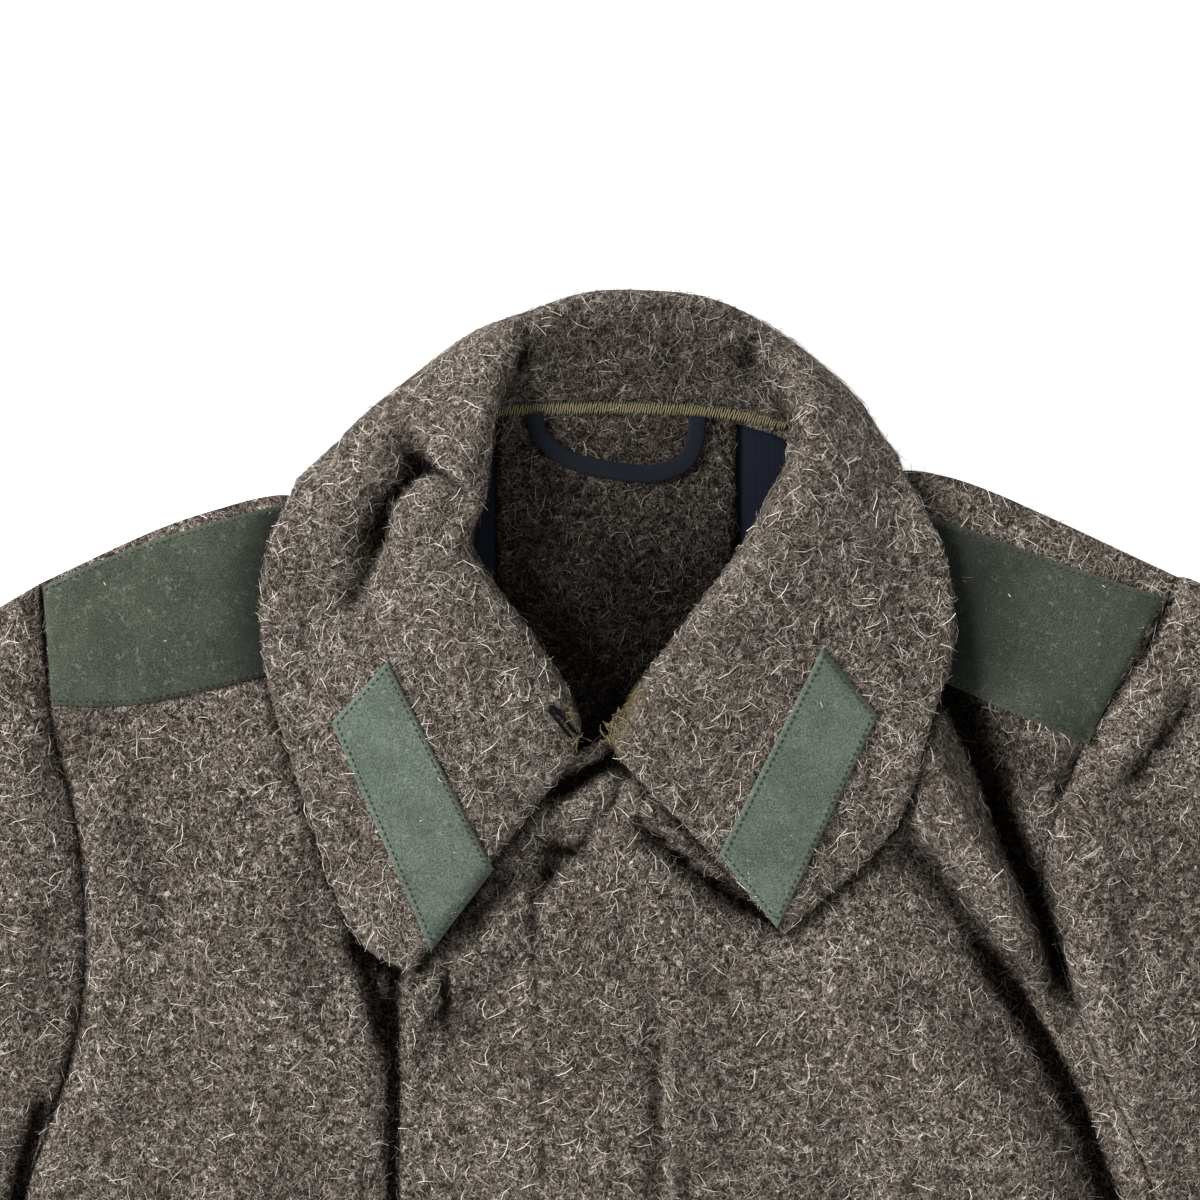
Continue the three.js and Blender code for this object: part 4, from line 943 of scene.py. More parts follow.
def make_sleeve(name, node, body, table):
    """One sleeve: a flat tube with soft edges, round which the rings run."""
    upper = mix(np.linspace(0, 1, UPPER_STEPS + 1), 0.5, UPPER_EVENNESS)
    upper = 0.5 - 0.5 * np.cos(np.pi * upper)
    upper = (upper - upper[0]) / (upper[-1] - upper[0])
    lower = np.linspace(1, 0, LOWER_STEPS + 1)[1:-1]
    t = np.concatenate([upper, lower])
    way = np.where(np.arange(len(t)) <= UPPER_STEPS, 1, -1)
    index = np.linspace(0, 1, SLEEVE_ROWS) ** SLEEVE_ROW_POWER * (len(table.rows) - 1)
    ring = table.at(index)
    width = np.hypot(ring.outer_x - ring.inner_x, ring.outer_y - ring.inner_y)[:, None]
    x, y = sleeve_plan(body, table, t, index)
    inset = WOOL / ARMHOLE_LENGTH
    inner_x, inner_y = sleeve_plan(body, table, inset + t * (1 - 2 * inset), index)
    full = np.sqrt(1 - (1 - np.minimum(np.minimum(t, 1 - t) * width / SLEEVE_EDGE_RADIUS, 1)) ** 2)
    middle = ring.height[:, None] / 2
    air = ring.height[:, None] - 2 * WOOL - SEAM_GAP
    lift = np.where(way > 0, full * np.maximum(relief(x, y) - seam_dip(x, y), -air), 0)
    outer = stack(x, y, middle * (1 + way * full) + lift)
    inner = stack(inner_x, inner_y, middle + (middle - WOOL) * way * full + lift)
    fuzz = np.where(way > 0, fuzz_weight(x, y), 0)
    dark = np.where(way > 0, painted_shade(x, y), 0)
    piece = wall(name, outer, inner, material("brushed_wool"), ring=True, fuzz=fuzz, dark=dark)
    dress(piece, node, outer, ring=True)


def make_sleeves():
    """The sleeves, which lie beside the body."""
    make_sleeve("sleeve_right_cloth", "sleeve_right", FRONT_RIGHT, SLEEVE_RIGHT)
    make_sleeve("sleeve_left_cloth", "sleeve_left", FRONT_LEFT, SLEEVE_LEFT)


# ---------- collar ----------

STAIN_PATH = np.array([[15.5, -40], [9, -50], [5, -61]])
STAIN_WIDTH = 4.5

# No fibres stand this close to the hook, or where the cloth faces down.
HOOK_BARE = 1.5
HOOK_BARE_RAMP = 3
FUZZ_TURN = 0.3

# Painted shade inside the stand, up to its end and ramp in places, and in the groove.
STAND_PAINTED_SHADE = 0.55
STAND_PAINTED_SHADE_END = (0.7, 0.9)
IMPRINT_PAINTED_SHADE = 0.3

# The lowest that the collar's outer faces lie.
LEAST_HEIGHT = 0.05

# The collar's grid: stations along it, and places across its section.
COLLAR_STEPS = 200
COLLAR_LENGTH = 620
STATIONS = shares(COLLAR_STEPS, COLLAR_LENGTH, near_start=True, near_end=True) * (len(COLLAR.rows) - 1)
PLACES = np.unique(np.concatenate([
    np.linspace(0, 1, 5), np.linspace(1, TURN, 13), np.linspace(TURN, FALL_MIDDLE, 12),
    np.linspace(FALL_MIDDLE, FALL_EDGE, 12), FALL_EDGE - np.array([0.06, 0.035, 0.018, 0.007]),
]))


def collar_middle(places, stations):
    """The middle of the two collar layers, as a grid of places by stations."""
    row = COLLAR.at(stations)
    neck = stack(row.neck_x, row.neck_y, row.neck_z)
    roll = stack(row.roll_x, row.roll_y, row.roll_z)
    middle = stack(row.mid_x, row.mid_y, row.mid_z)
    edge = stack(row.edge_x, row.edge_y, row.edge_z)
    stand_part = np.minimum(ROLL_SOFTNESS / np.linalg.norm(roll - neck, axis=-1), ROLL_SHARE)
    fall_part = np.minimum(ROLL_SOFTNESS / np.linalg.norm(roll - middle, axis=-1), ROLL_SHARE)
    rise = mix(roll, neck, stand_part[:, None])
    turn = mix(roll, middle, fall_part[:, None])
    grid = catmull_rom(np.stack([neck, rise, turn, middle, edge]), places)
    x, y, z = grid[..., 0], grid[..., 1], grid[..., 2]
    rest = WOOL + COLLAR_LAYER_GAP / 2
    clear = np.maximum(-edge_distance(x, y) - WRAP_CLEAR, 0)
    place = places[:, None]
    past_roll = smooth((place - ROLL_TOP) / (TURN - ROLL_TOP))
    floor = np.where(place > TURN, support_top(x, y) + rest + COLLAR_CLEAR - WRAP_DROP * clear, 0)
    folds = fold_height(COLLAR_FOLDS, x, y) + fold_height(COLLAR_CREASES, x, y)
    open_z = np.maximum(z + folds * past_roll, floor)
    ceiling = np.where(place > FALL_MIDDLE, rest + WRAP_PLAY + WRAP_RISE * clear, z)
    turned_z = np.minimum(np.maximum(z, rest), np.maximum(ceiling, rest))
    fall_z = np.where(row.under > 0.5, turned_z, open_z)
    return stack(x, y, np.where(place > ROLL_TOP, fall_z, z))


def normals_of(grid):
    """Unit normals of a grid of points, a little evened out."""
    across, along = np.gradient(grid, axis=0), np.gradient(grid, axis=1)
    out = np.cross(along, across)
    for _ in range(2):
        wide = np.pad(out, ((1, 1), (1, 1), (0, 0)), mode="edge")
        out = (wide[:-2, 1:-1] + wide[2:, 1:-1] + wide[1:-1, :-2] + wide[1:-1, 2:] + 2 * out) / 6
    return out / np.linalg.norm(out, axis=-1, keepdims=True)


def edge_reach(grid):
    """The way along the cloth from each point to the collar's outer and front edges."""
    steps = np.linalg.norm(np.diff(grid, axis=0), axis=-1)
    to_edge = np.concatenate([np.cumsum(steps[::-1], 0)[::-1], np.zeros((1, grid.shape[1]))])
    steps = np.linalg.norm(np.diff(grid, axis=1), axis=-1)
    zero = np.zeros((grid.shape[0], 1))
    from_start = np.concatenate([zero, np.cumsum(steps, 1)], 1)
    to_end = np.concatenate([np.cumsum(steps[:, ::-1], 1)[:, ::-1], zero], 1)
    return to_edge, np.minimum(from_start, to_end)


def stain_at(x, y):
    """An olive stain along the inner edge of the wearer's left leaf."""
    return np.exp(-((nearest_on(STAIN_PATH, x, y)[0] / STAIN_WIDTH) ** 2))


def make_collar_layer(name, node, grid, side):
    """One layer of the collar. side is 1 for the one that shows and -1 for the one below."""
    out = normals_of(grid)
    to_edge, to_front = edge_reach(grid)
    reach = np.clip(np.minimum(to_edge, to_front) / EDGE_ROUND, 0, 1)
    share = np.sqrt(1 - (1 - reach) ** 2)
    imprint = np.exp(-((np.minimum(to_edge, to_front + IMPRINT_FRONT) - IMPRINT_IN) / IMPRINT_WIDTH) ** 2)
    near = side * COLLAR_LAYER_GAP / 2
    thickness = np.maximum(WOOL * share, THINNEST / 2) - IMPRINT_DEPTH * imprint * (side > 0)
    outer = grid + out * (near + side * thickness)[..., None]
    outer[..., 2] = np.maximum(outer[..., 2], LEAST_HEIGHT)
    inner = grid + out * near
    x, y = grid[..., 0], grid[..., 1]
    from_hook = np.hypot(x - HOOK_CENTRE[0], y - HOOK_CENTRE[1])
    bare = smooth((from_hook - HOOK_LENGTH / 2 - HOOK_BARE) / HOOK_BARE_RAMP)
    fuzz = smooth((out[..., 2] + FUZZ_TURN) / FUZZ_TURN) * (side > 0) * bare
    stain = stain_at(x, y) if side > 0 else None
    # Painted shade in the collar's creases, in the imprint's groove and inside the stand.
    start, ramp_up = STAND_PAINTED_SHADE_END
    inside = STAND_PAINTED_SHADE * (1 - smooth((PLACES[:, None] - start) / ramp_up))
    dark = smooth(fold_height(COLLAR_CREASES, x, y, "dark") + IMPRINT_PAINTED_SHADE * imprint + inside)
    piece = wall(name, outer, inner, material("brushed_wool"), fuzz=fuzz, stain=stain, dark=dark)
    dress(piece, node, outer)


def make_collar():
    """The collar: two layers that share one edge, turned down over the fronts."""
    grid = collar_middle(PLACES, STATIONS)
    make_collar_layer("upper_collar_cloth", "upper_collar", grid, 1)
    make_collar_layer("under_collar_cloth", "under_collar", grid, -1)


# ---------- pieces that lie on a panel ----------

def height_over(x, y, *names):
    """The top of the named pieces over plan points, in millimetres."""
    trees = []
    for name in names:
        mesh = bpy.data.objects[name].data
        points = [tuple(np.array(v.co) / MM - SHIFT) for v in mesh.vertices]
        trees.append(BVHTree.FromPolygons(points, [tuple(p.vertices) for p in mesh.polygons]))
    height = np.full(np.shape(x), np.nan)
    for place, px in np.ndenumerate(x):
        for tree in trees:
            hit = tree.ray_cast((px, y[place], 200), (0, 0, -1))[0]
            if hit is None:
                hit = tree.find_nearest((px, y[place], 20))[0]
            height[place] = np.fmax(height[place], hit.z)
    return height


# Painted shadow that the collar throws on the patches, wider on the left.
FELT_PAINTED_SHADOW = 0.85
FELT_PAINTED_SHADOW_REACH = 16
FELT_PAINTED_SHADOW_REACH_LEFT = 27

# Rows and columns of a tab's and a patch's grid.
TAB_GRID = (44, 26)
PATCH_GRID = (26, 50)

TABS = (("right", TAB_RIGHT), ("left", TAB_LEFT))
PATCHES = (("right", PATCH_RIGHT_TOP, PATCH_RIGHT_LOW), ("left", PATCH_LEFT_TOP, PATCH_LEFT_LOW))


def piece_below(node):
    """The piece of cloth that a felt piece is sewn to."""
    side = node.rsplit("_", 1)[1]
    return "upper_collar_cloth" if node.startswith("collar") else f"front_{side}_cloth"


def make_felt(node, x, y, colour):
    """A felt piece on a grid of plan points, with soft edges, just above what it is sewn to."""
    rows, columns = x.shape
    base = height_over(x, y, piece_below(node))
    grid = stack(x, y, base + SEAM_GAP + FELT)
    i, j = np.meshgrid(np.arange(columns), np.arange(rows))
    width, length, _ = grid_size(grid)
    to_side = np.minimum(i, columns - 1 - i) * width / (columns - 1)
    to_end = np.minimum(j, rows - 1 - j) * length / (rows - 1)
    high, low = rim(grid[..., 2], FELT, np.minimum(to_side, to_end), FELT)
    outer, inner = stack(x, y, high), stack(x, y, np.minimum(low, base + SEAM_GAP))
    reach = np.where(x > 0, FELT_PAINTED_SHADOW_REACH_LEFT, FELT_PAINTED_SHADOW_REACH)
    # Painted shadow from the collar, darkest at its edge.
    shade = FELT_PAINTED_SHADOW * np.exp(-((nearest_on(COLLAR_EDGE, x, y)[0] / reach) ** 2))
    dark = shade if node.startswith("shoulder") else None
    piece = wall(f"{node}_felt", outer, inner, material(colour), dark=dark)
    dress(piece, node, grid)


def four_sided(corners, rows, columns):
    """A grid of plan points over four corners."""
    s, t = np.meshgrid(np.linspace(0, 1, columns), np.linspace(0, 1, rows))
    a, b, c, d = corners.rows
    points = mix(mix(a, b, s[..., None]), mix(d, c, s[..., None]), t[..., None])
    return points[..., 0], points[..., 1]


def make_tabs():
    """The slanted felt tabs on the collar's leaves."""
    for side, corners in TABS:
        x, y = four_sided(corners, *TAB_GRID)
        make_felt(f"collar_tab_{side}", x, y, "tab_felt")


def patch_grid(top, low, rows, columns):
    """A grid between two curved edges."""
    share = np.linspace(0, 1, columns)
    down = np.linspace(0, 1, rows)[:, None, None]
    points = mix(top.along(share), low.along(share), down)
    return points[..., 0], points[..., 1]


def make_patches():
    """The felt patches on the shoulders, which run on under the collar."""
    for side, top, low in PATCHES:
        x, y = patch_grid(top, low, *PATCH_GRID)
        make_felt(f"shoulder_patch_{side}", x, y, "patch_felt")


# ---------- inside the neck ----------

# Painted shade on the facing, which lies deep in the neck: its amount at the top and further down, where it
# begins and over how far.
INSIDE_PAINTED_SHADE = (0.68, 0.93)
INSIDE_TOP = 72
INSIDE_RAMP = 78
INSIDE_ROWS = 40
INSIDE_COLUMNS = 20


def make_inside_piece(name, table, top_edge, thickness, slot, colour):
    """The facing or one side of the lining, flat on the back."""
    across = np.linspace(0, 1, INSIDE_COLUMNS)
    row = np.linspace(0, len(table.rows) - 1, INSIDE_ROWS)
    x, y = panel_plan(table, top_edge, across, row)
    top = back_top(x, y) + LAY_GAP + thickness
    outer, inner = stack(x, y, top), stack(x, y, top - thickness)
    # Painted shade, darker further down the facing.
    deep = mix(*INSIDE_PAINTED_SHADE, smooth((INSIDE_TOP - y) / INSIDE_RAMP))
    fuzz, dark = (np.ones_like(x), deep) if slot == "wool" else (None, None)
    piece = wall(f"{name}_cloth", outer, inner, material(colour), fuzz=fuzz, dark=dark)
    dress(piece, name, outer)


def make_neck_inside():
    """The wool facing down the middle of the back, with the lining on each side."""
    make_inside_piece("neck_facing", FACING, FACING_TOP, WOOL, "wool", "brushed_wool")
    for name, table, top_edge in (
        ("lining_right", LINING_RIGHT, LINING_RIGHT_TOP), ("lining_left", LINING_LEFT, LINING_LEFT_TOP),
    ):
        make_inside_piece(name, table, top_edge, COTTON, "lining_cotton", "lining")


def squared(wave, power):
    """A wave with fuller sides, which makes a round section squarer."""
    return np.sign(wave) * np.abs(wave) ** power


def make_loop():
    """The hanger loop: a flattened band sewn into the neck seam at both ends."""
    t = np.linspace(0, 1, 90)
    path = LOOP_PATH.along(t)
    way = np.gradient(path, axis=0)
    side = np.stack([-way[:, 1], way[:, 0]], -1) / np.linalg.norm(way, axis=-1, keepdims=True)
    angle = np.linspace(0, 2 * math.pi, 20, endpoint=False)
    across = squared(np.cos(angle), LOOP_SQUARE[0]) * LOOP_WIDTH / 2
    up = squared(np.sin(angle), LOOP_SQUARE[1]) * LOOP_THICKNESS / 2
    plan = path[:, None] + across[None, :, None] * side[:, None]
    base = back_top(path[:, 0], path[:, 1]) + 2 * LAY_GAP + WOOL + LOOP_THICKNESS / 2
    outer = np.concatenate([plan, (base[:, None] + up)[..., None]], -1)
    middle = np.concatenate([path, base[:, None]], -1)[:, None]
    inner = mix(middle, outer, 0.5)
    piece = wall("hanger_loop_band", outer, inner, material("twill"), ring=True)
    dress(piece, "hanger_loop", outer, ring=True)


def tube(name, paths, radius, colour, sides=8):
    """Round wires or threads with closed ends, along plan paths."""
    points, faces = [], []
    angle = np.linspace(0, 2 * math.pi, sides, endpoint=False)
    for path in paths:
        start = sum(len(part) for part in points)
        way = np.gradient(path, axis=0)
        way /= np.linalg.norm(way, axis=-1, keepdims=True)
        side = np.cross(way, (0, 0, 1))
        side /= np.linalg.norm(side, axis=-1, keepdims=True)
        up = np.cross(side, way)
        cos, sin = np.cos(angle)[None, :, None], np.sin(angle)[None, :, None]
        ring = side[:, None] * cos + up[:, None] * sin
        points.append((path[:, None] + radius * ring).reshape(-1, 3))
        for j in range(len(path) - 1):
            for i in range(sides):
                a, b = start + j * sides + i, start + j * sides + (i + 1) % sides
                faces.append((a, b, b + sides, a + sides))
        last = start + (len(path) - 1) * sides
        faces.append(tuple(range(start + sides - 1, start - 1, -1)))
        faces.append(tuple(range(last, last + sides)))
    return solid_object(name, np.concatenate(points), faces, material(colour))


def make_hook():
    """The wire hook, a flattened hairpin that shows where the collar closes."""
    radius = HOOK_WIDTH / 2
    leg = np.linspace(-HOOK_LENGTH / 2, HOOK_LENGTH / 2 - radius, 14)
    angle = np.linspace(-math.pi / 2, math.pi / 2, 12)[1:-1]
    u = np.concatenate([leg, leg[-1] + radius * np.cos(angle), leg[::-1]])
    v = np.concatenate([np.full(14, -radius), radius * np.sin(angle), np.full(14, radius)])
    x = HOOK_CENTRE[0] + u * math.cos(HOOK_TURN) - v * math.sin(HOOK_TURN)
    y = HOOK_CENTRE[1] + u * math.sin(HOOK_TURN) + v * math.cos(HOOK_TURN)
    z = height_over(x, y, "upper_collar_cloth")
    z = np.convolve(np.pad(z, 3, mode="edge"), np.ones(7) / 7, "valid") + HOOK_WIRE / 2 + SEAM_GAP
    z -= HOOK_DIVE * smooth((-HOOK_LENGTH / 2 + HOOK_WIDTH - u) / HOOK_WIDTH)
    piece = tube("collar_hook_wire", [stack(x, y, z)], HOOK_WIRE / 2, "black_metal", sides=12)
    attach(piece, BODY)
    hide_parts("collar_hook")


# ---------- sewing ----------

def fill(tree, socket, value):
    """Links another socket to this one, or sets its value."""
    if isinstance(value, bpy.types.NodeSocket):
        tree.links.new(value, socket)
    else:
        socket.default_value = value


def add_node(tree, kind, inputs=(), **settings):
    """A node with its settings made and its inputs set or linked."""
    made = tree.nodes.new(kind)
    for name, value in settings.items():
        setattr(made, name, value)
    for key, value in dict(inputs).items():
        fill(tree, made.inputs[key], value)
    return made


def maths(tree, operation, *values):
    """A sum, product or other result of sockets and numbers."""
    return add_node(tree, "ShaderNodeMath", dict(enumerate(values)), operation=operation).outputs[0]


def chance(tree, low, high, seed):
    """A random number for each point or instance."""
    made = add_node(tree, "FunctionNodeRandomValue", {2: low, 3: high, "Seed": seed}, data_type="FLOAT")
    return made.outputs[1]


def new_tree(name, kind, inputs, outputs):
    """A node group with named sockets, given as (name, socket type, default)."""
    tree = bpy.data.node_groups.new(name, kind)
    for label, socket, default in inputs:
        made = tree.interface.new_socket(label, in_out="INPUT", socket_type=f"NodeSocket{socket}")
        if default is not None:
            made.default_value = default
    for label, socket in outputs:
        tree.interface.new_socket(label, in_out="OUTPUT", socket_type=f"NodeSocket{socket}")
    return tree, tree.nodes.new("NodeGroupInput").outputs, tree.nodes.new("NodeGroupOutput").inputs


def stitch_tree():
    """Stitches at an even pitch along every edge path of a mesh."""
    tree, given, result = new_tree("stitch_row", "GeometryNodeTree", [
        ("Geometry", "Geometry", None), ("Pitch", "Float", 0.0028), ("Length", "Float", 0.0019),
        ("Thickness", "Float", 0.0004), ("Lean", "Float", 0.0), ("Unevenness", "Float", 0.1),
        ("Seed", "Int", 0), ("Material", "Material", None),
    ], [("Geometry", "Geometry")])
    curve = add_node(tree, "GeometryNodeMeshToCurve", {"Mesh": given["Geometry"]})
    dots = add_node(tree, "GeometryNodeResampleCurve",
                    {"Curve": curve.outputs[0], "Length": given["Pitch"]}, mode="LENGTH")
    ball = add_node(tree, "GeometryNodeMeshUVSphere", {"Segments": 6, "Rings": 4, "Radius": 0.5})
    size = add_node(tree, "ShaderNodeCombineXYZ",
                    {"X": given["Length"], "Y": given["Thickness"], "Z": given["Thickness"]})
    stitch = add_node(tree, "GeometryNodeTransform",
                      {"Geometry": ball.outputs[0], "Scale": size.outputs[0]})
    way = add_node(tree, "GeometryNodeInputTangent")
    turn = add_node(tree, "FunctionNodeAlignRotationToVector", {"Vector": way.outputs[0]},
                    axis="X", pivot_axis="Z")
    less = maths(tree, "MULTIPLY", given["Unevenness"], -1.0)
    stray = chance(tree, less, given["Unevenness"], given["Seed"])
    spin = add_node(tree, "ShaderNodeCombineXYZ", {"Z": maths(tree, "ADD", given["Lean"], stray)})
    spun = add_node(tree, "FunctionNodeRotateRotation", {"Rotation": turn.outputs[0]},
                    rotation_space="LOCAL")
    tree.links.new(spin.outputs[0], spun.inputs[1])
    placed = add_node(tree, "GeometryNodeInstanceOnPoints", {
        "Points": dots.outputs[0], "Instance": stitch.outputs[0], "Rotation": spun.outputs[0],
    })
    real = add_node(tree, "GeometryNodeRealizeInstances", {0: placed.outputs[0]})
    shaded = add_node(tree, "GeometryNodeSetShadeSmooth", {"Geometry": real.outputs[0]})
    done = add_node(tree, "GeometryNodeSetMaterial",
                    {"Geometry": shaded.outputs[0], "Material": given["Material"]})
    tree.links.new(done.outputs[0], result["Geometry"])
    return tree


def grow(made, tree, values):
    """Runs a geometry tree on an object with its inputs set, and keeps the plain mesh."""
    modifier = made.modifiers.new("grow", "NODES")
    modifier.node_group = tree
    for item in tree.interface.items_tree:
        if item.item_type == "SOCKET" and item.in_out == "INPUT" and item.name in values:
            modifier[item.identifier] = values[item.name]
    bpy.context.view_layer.update()
    evaluated = made.evaluated_get(bpy.context.evaluated_depsgraph_get())
    grown = bpy.data.meshes.new_from_object(evaluated)
    grown.name = made.name
    made.modifiers.clear()
    made.data = grown


def sew(name, paths, colour, lean=0.0, length=None, pitch=None, seed=1):
    """Rows of stitches along plan paths."""
    sewing = bpy.context.scene.coat.sewing
    points = np.concatenate(paths)
    edges, start = [], 0
    for path in paths:
        edges += [(start + k, start + k + 1) for k in range(len(path) - 1)]
        start += len(path)
    made = mesh_object(name, points, edges, [])
    tree = bpy.data.node_groups.get("stitch_row") or stitch_tree()
    grow(made, tree, {
        "Pitch": pitch or sewing.pitch, "Length": length or sewing.length,
        "Thickness": sewing.thickness, "Lean": lean, "Unevenness": sewing.unevenness,
        "Seed": seed, "Material": material(colour),
    })
    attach(made, BODY)


def inset_loop(corners, inset, step=2.0):
    """A closed path inside four plan corners, given distances from their sides."""
    centre = corners.mean(0)
    lines = []
    for k in range(4):
        a, b = corners[k], corners[(k + 1) % 4]
        out = np.array([b[1] - a[1], a[0] - b[0]]) / np.linalg.norm(b - a)
        out = out if out @ (a - centre) > 0 else -out
        lines.append((out, out @ a - inset))
    inner = []
    for k in range(4):
        (n0, c0), (n1, c1) = lines[k - 1], lines[k]
        inner.append(np.linalg.solve(np.array([n0, n1]), np.array([c0, c1])))
    parts = []
    for k in range(4):
        a, b = inner[k], inner[(k + 1) % 4]
        count = int(np.linalg.norm(b - a) / step)
        parts.append(mix(a, b, np.linspace(0, 1, count, endpoint=False)[:, None]))
    return np.concatenate([*parts, inner[0][None]])


def on_top(path, *names, lift=0.1):
    """A plan path laid on the named pieces."""
    z = height_over(path[:, 0], path[:, 1], *names) + lift
    return np.concatenate([path, z[:, None]], -1)


def make_stitches():
    """Black running stitches round the tabs and along the long edges of the patches."""
    for side, corners in TABS:
        path = on_top(inset_loop(corners.rows, STITCH_INSET), f"collar_tab_{side}_felt")
        sew(f"collar_tab_{side}_stitches", [path], "black_thread", seed=3)
    for side, top, low in PATCHES:
        share = np.linspace(0.02, 0.98, 60)
        a, b = top.along(share), low.along(share)
        inset = (STITCH_INSET / np.linalg.norm(a - b, axis=-1))[:, None]
        rows = [on_top(mix(a, b, part), f"shoulder_patch_{side}_felt") for part in (inset, 1 - inset)]
        sew(f"shoulder_patch_{side}_stitches", rows, "black_thread", seed=5)


def make_overlock():
    """The olive overlock stitches where the facing meets the collar."""
    share = np.linspace(0, 1, 80)
    path = on_top(OVERLOCK.along(share), "neck_facing_cloth", "upper_collar_cloth", lift=0.3)
    sew("neck_overlock", [path], "olive_thread",
        lean=1.35, length=OVERLOCK_HEIGHT * MM, pitch=OVERLOCK_PITCH * MM, seed=7)


def make_threads():
    """Tufts of loose thread at the front of the collar."""
    draw = np.random.default_rng(TUFT_SEED)
    plans, t = [], np.linspace(0, 1, 10)
    for tuft in TUFTS.each():
        for _ in range(int(tuft.count)):
            angle = math.radians(tuft.angle + draw.uniform(-1, 1) * tuft.spread)
            reach = tuft.length * draw.uniform(0.6, 1.2) * t
            curl = draw.uniform(-1.2, 1.2) * t
            x, y = tuft.x + draw.normal(), tuft.y + draw.normal()
            way = np.stack([np.cos(angle + curl), np.sin(angle + curl)], -1)
            plans.append(np.array([x, y]) + reach[:, None] * way)
    laid = on_top(np.concatenate(plans), "upper_collar_cloth", "front_left_cloth", lift=THREAD_RADIUS)
    paths = laid.reshape(len(plans), len(t), 3)
    lift = TUFT_LIFT * draw.uniform(0.1, 1, (len(plans), 1)) * np.sin(math.pi * t / 1.4)
    paths[..., 2] = paths[..., 2].max(1, keepdims=True) + lift
    piece = tube("collar_thread_ends", paths, THREAD_RADIUS, "olive_thread", sides=5)
    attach(piece, BODY)


# ---------- fuzz ----------

# Fibres are at least the shortest share of their usual length, and a few are longer by
# up to the extra share; the power makes those few.
HAIR_KINDS = 7
HAIR_SEED = 20
TONE_SEED = 11
HAIR_SHORTEST = 0.6
HAIR_EXTRA = 1.7
HAIR_POWER = 5.0


def hair_mesh(seed, width_share):
    """One curled fibre, a ribbon one unit long that narrows to a point."""
    draw = np.random.default_rng(seed)
    count = 4 if seed % 4 == 0 else 3
    t = np.linspace(0, 1, count)
    bend, turns, phase = draw.uniform(0.12, 0.42), draw.uniform(0.5, 1.5), draw.uniform(0, 1)
    x = (t - 0.5) * (1 - 0.3 * bend)
    y = bend * np.sin(math.pi * (t * turns + phase)) * 0.6
    z = 0.03 + draw.uniform(0.02, 0.16) * np.sin(math.pi * t)
    tilt = draw.uniform(-0.9, 0.9)
    half = width_share / 2 * np.array([0, math.cos(tilt), math.sin(tilt)])
    middle = stack(x, y - y.mean(), z)
    points = np.concatenate([middle[:-1] - half, middle[:-1] + half, middle[-1:]])
    side = count - 1
    faces = [(k, k + 1, side + k + 1, side + k) for k in range(side - 1)]
    faces.append((side - 1, 2 * side, 2 * side - 1))
    mesh = bpy.data.meshes.new(f"hair_{seed}")
    mesh.from_pydata(points.tolist(), [], faces)
    return bpy.data.objects.new(f"hair_{seed}", mesh)


def fuzz_tree():
    """Fibres scattered over a mesh, thicker where its fuzz attribute is higher."""
    tree, given, result = new_tree("fuzz", "GeometryNodeTree", [
        ("Geometry", "Geometry", None), ("Hairs", "Collection", None),
        ("Density", "Float", 1000.0), ("Length", "Float", 0.006), ("Tilt", "Float", 0.25),
        ("Seed", "Int", 0), ("Material", "Material", None),
    ], [("Geometry", "Geometry")])
    weight = add_node(tree, "GeometryNodeInputNamedAttribute", {"Name": "fuzz"}, data_type="FLOAT")
    density = maths(tree, "MULTIPLY", given["Density"], weight.outputs[0])
    dots = add_node(tree, "GeometryNodeDistributePointsOnFaces", {
        "Mesh": given["Geometry"], "Density": density, "Seed": given["Seed"],
    }, distribute_method="RANDOM")
    kinds = add_node(tree, "GeometryNodeCollectionInfo", {
        "Collection": given["Hairs"], "Separate Children": True, "Reset Children": True,
    })
    spin = add_node(tree, "FunctionNodeRandomValue", {
        0: (-1, -1, -math.pi), 1: (1, 1, math.pi), "Seed": given["Seed"],
    }, data_type="FLOAT_VECTOR")
    tilt = add_node(tree, "ShaderNodeCombineXYZ", {"X": given["Tilt"], "Y": given["Tilt"], "Z": 1.0})
    angles = add_node(tree, "ShaderNodeVectorMath", {0: spin.outputs[0], 1: tilt.outputs[0]},
                      operation="MULTIPLY")
    turned = add_node(tree, "FunctionNodeRotateRotation", {"Rotation": dots.outputs["Rotation"]},
                      rotation_space="LOCAL")
    tree.links.new(angles.outputs[0], turned.inputs[1])
    few_long = maths(tree, "POWER", chance(tree, 0.0, 1.0, given["Seed"]), HAIR_POWER)
    scale = maths(tree, "MULTIPLY_ADD", few_long, HAIR_EXTRA, HAIR_SHORTEST)
    size = maths(tree, "MULTIPLY", scale, given["Length"])
    placed = add_node(tree, "GeometryNodeInstanceOnPoints", {
        "Points": dots.outputs["Points"], "Instance": kinds.outputs[0], "Pick Instance": True,
        "Rotation": turned.outputs[0], "Scale": size,
    })
    toned = add_node(tree, "GeometryNodeStoreNamedAttribute", {
        "Geometry": placed.outputs[0], "Name": "tone", "Value": chance(tree, 0.0, 1.0, TONE_SEED),
    }, data_type="FLOAT", domain="INSTANCE")
    real = add_node(tree, "GeometryNodeRealizeInstances", {0: toned.outputs[0]})
    done = add_node(tree, "GeometryNodeSetMaterial",
                    {"Geometry": real.outputs[0], "Material": given["Material"]})
    tree.links.new(done.outputs[0], result["Geometry"])
    return tree


# The number of fibres on each piece.
FUZZ_SHARES = {
    "front_right_cloth": 34000, "front_left_cloth": 52000, "upper_collar_cloth": 52000,
    "sleeve_right_cloth": 8500, "sleeve_left_cloth": 11000, "neck_facing_cloth": 8000,
}


def weighted_area(mesh):
    """The area of a mesh in square metres, each face counted by its fuzz."""
    weight = np.zeros(len(mesh.vertices), np.float32)
    mesh.attributes["fuzz"].data.foreach_get("value", weight)
    return sum(face.area * weight[list(face.vertices)].mean() for face in mesh.polygons)


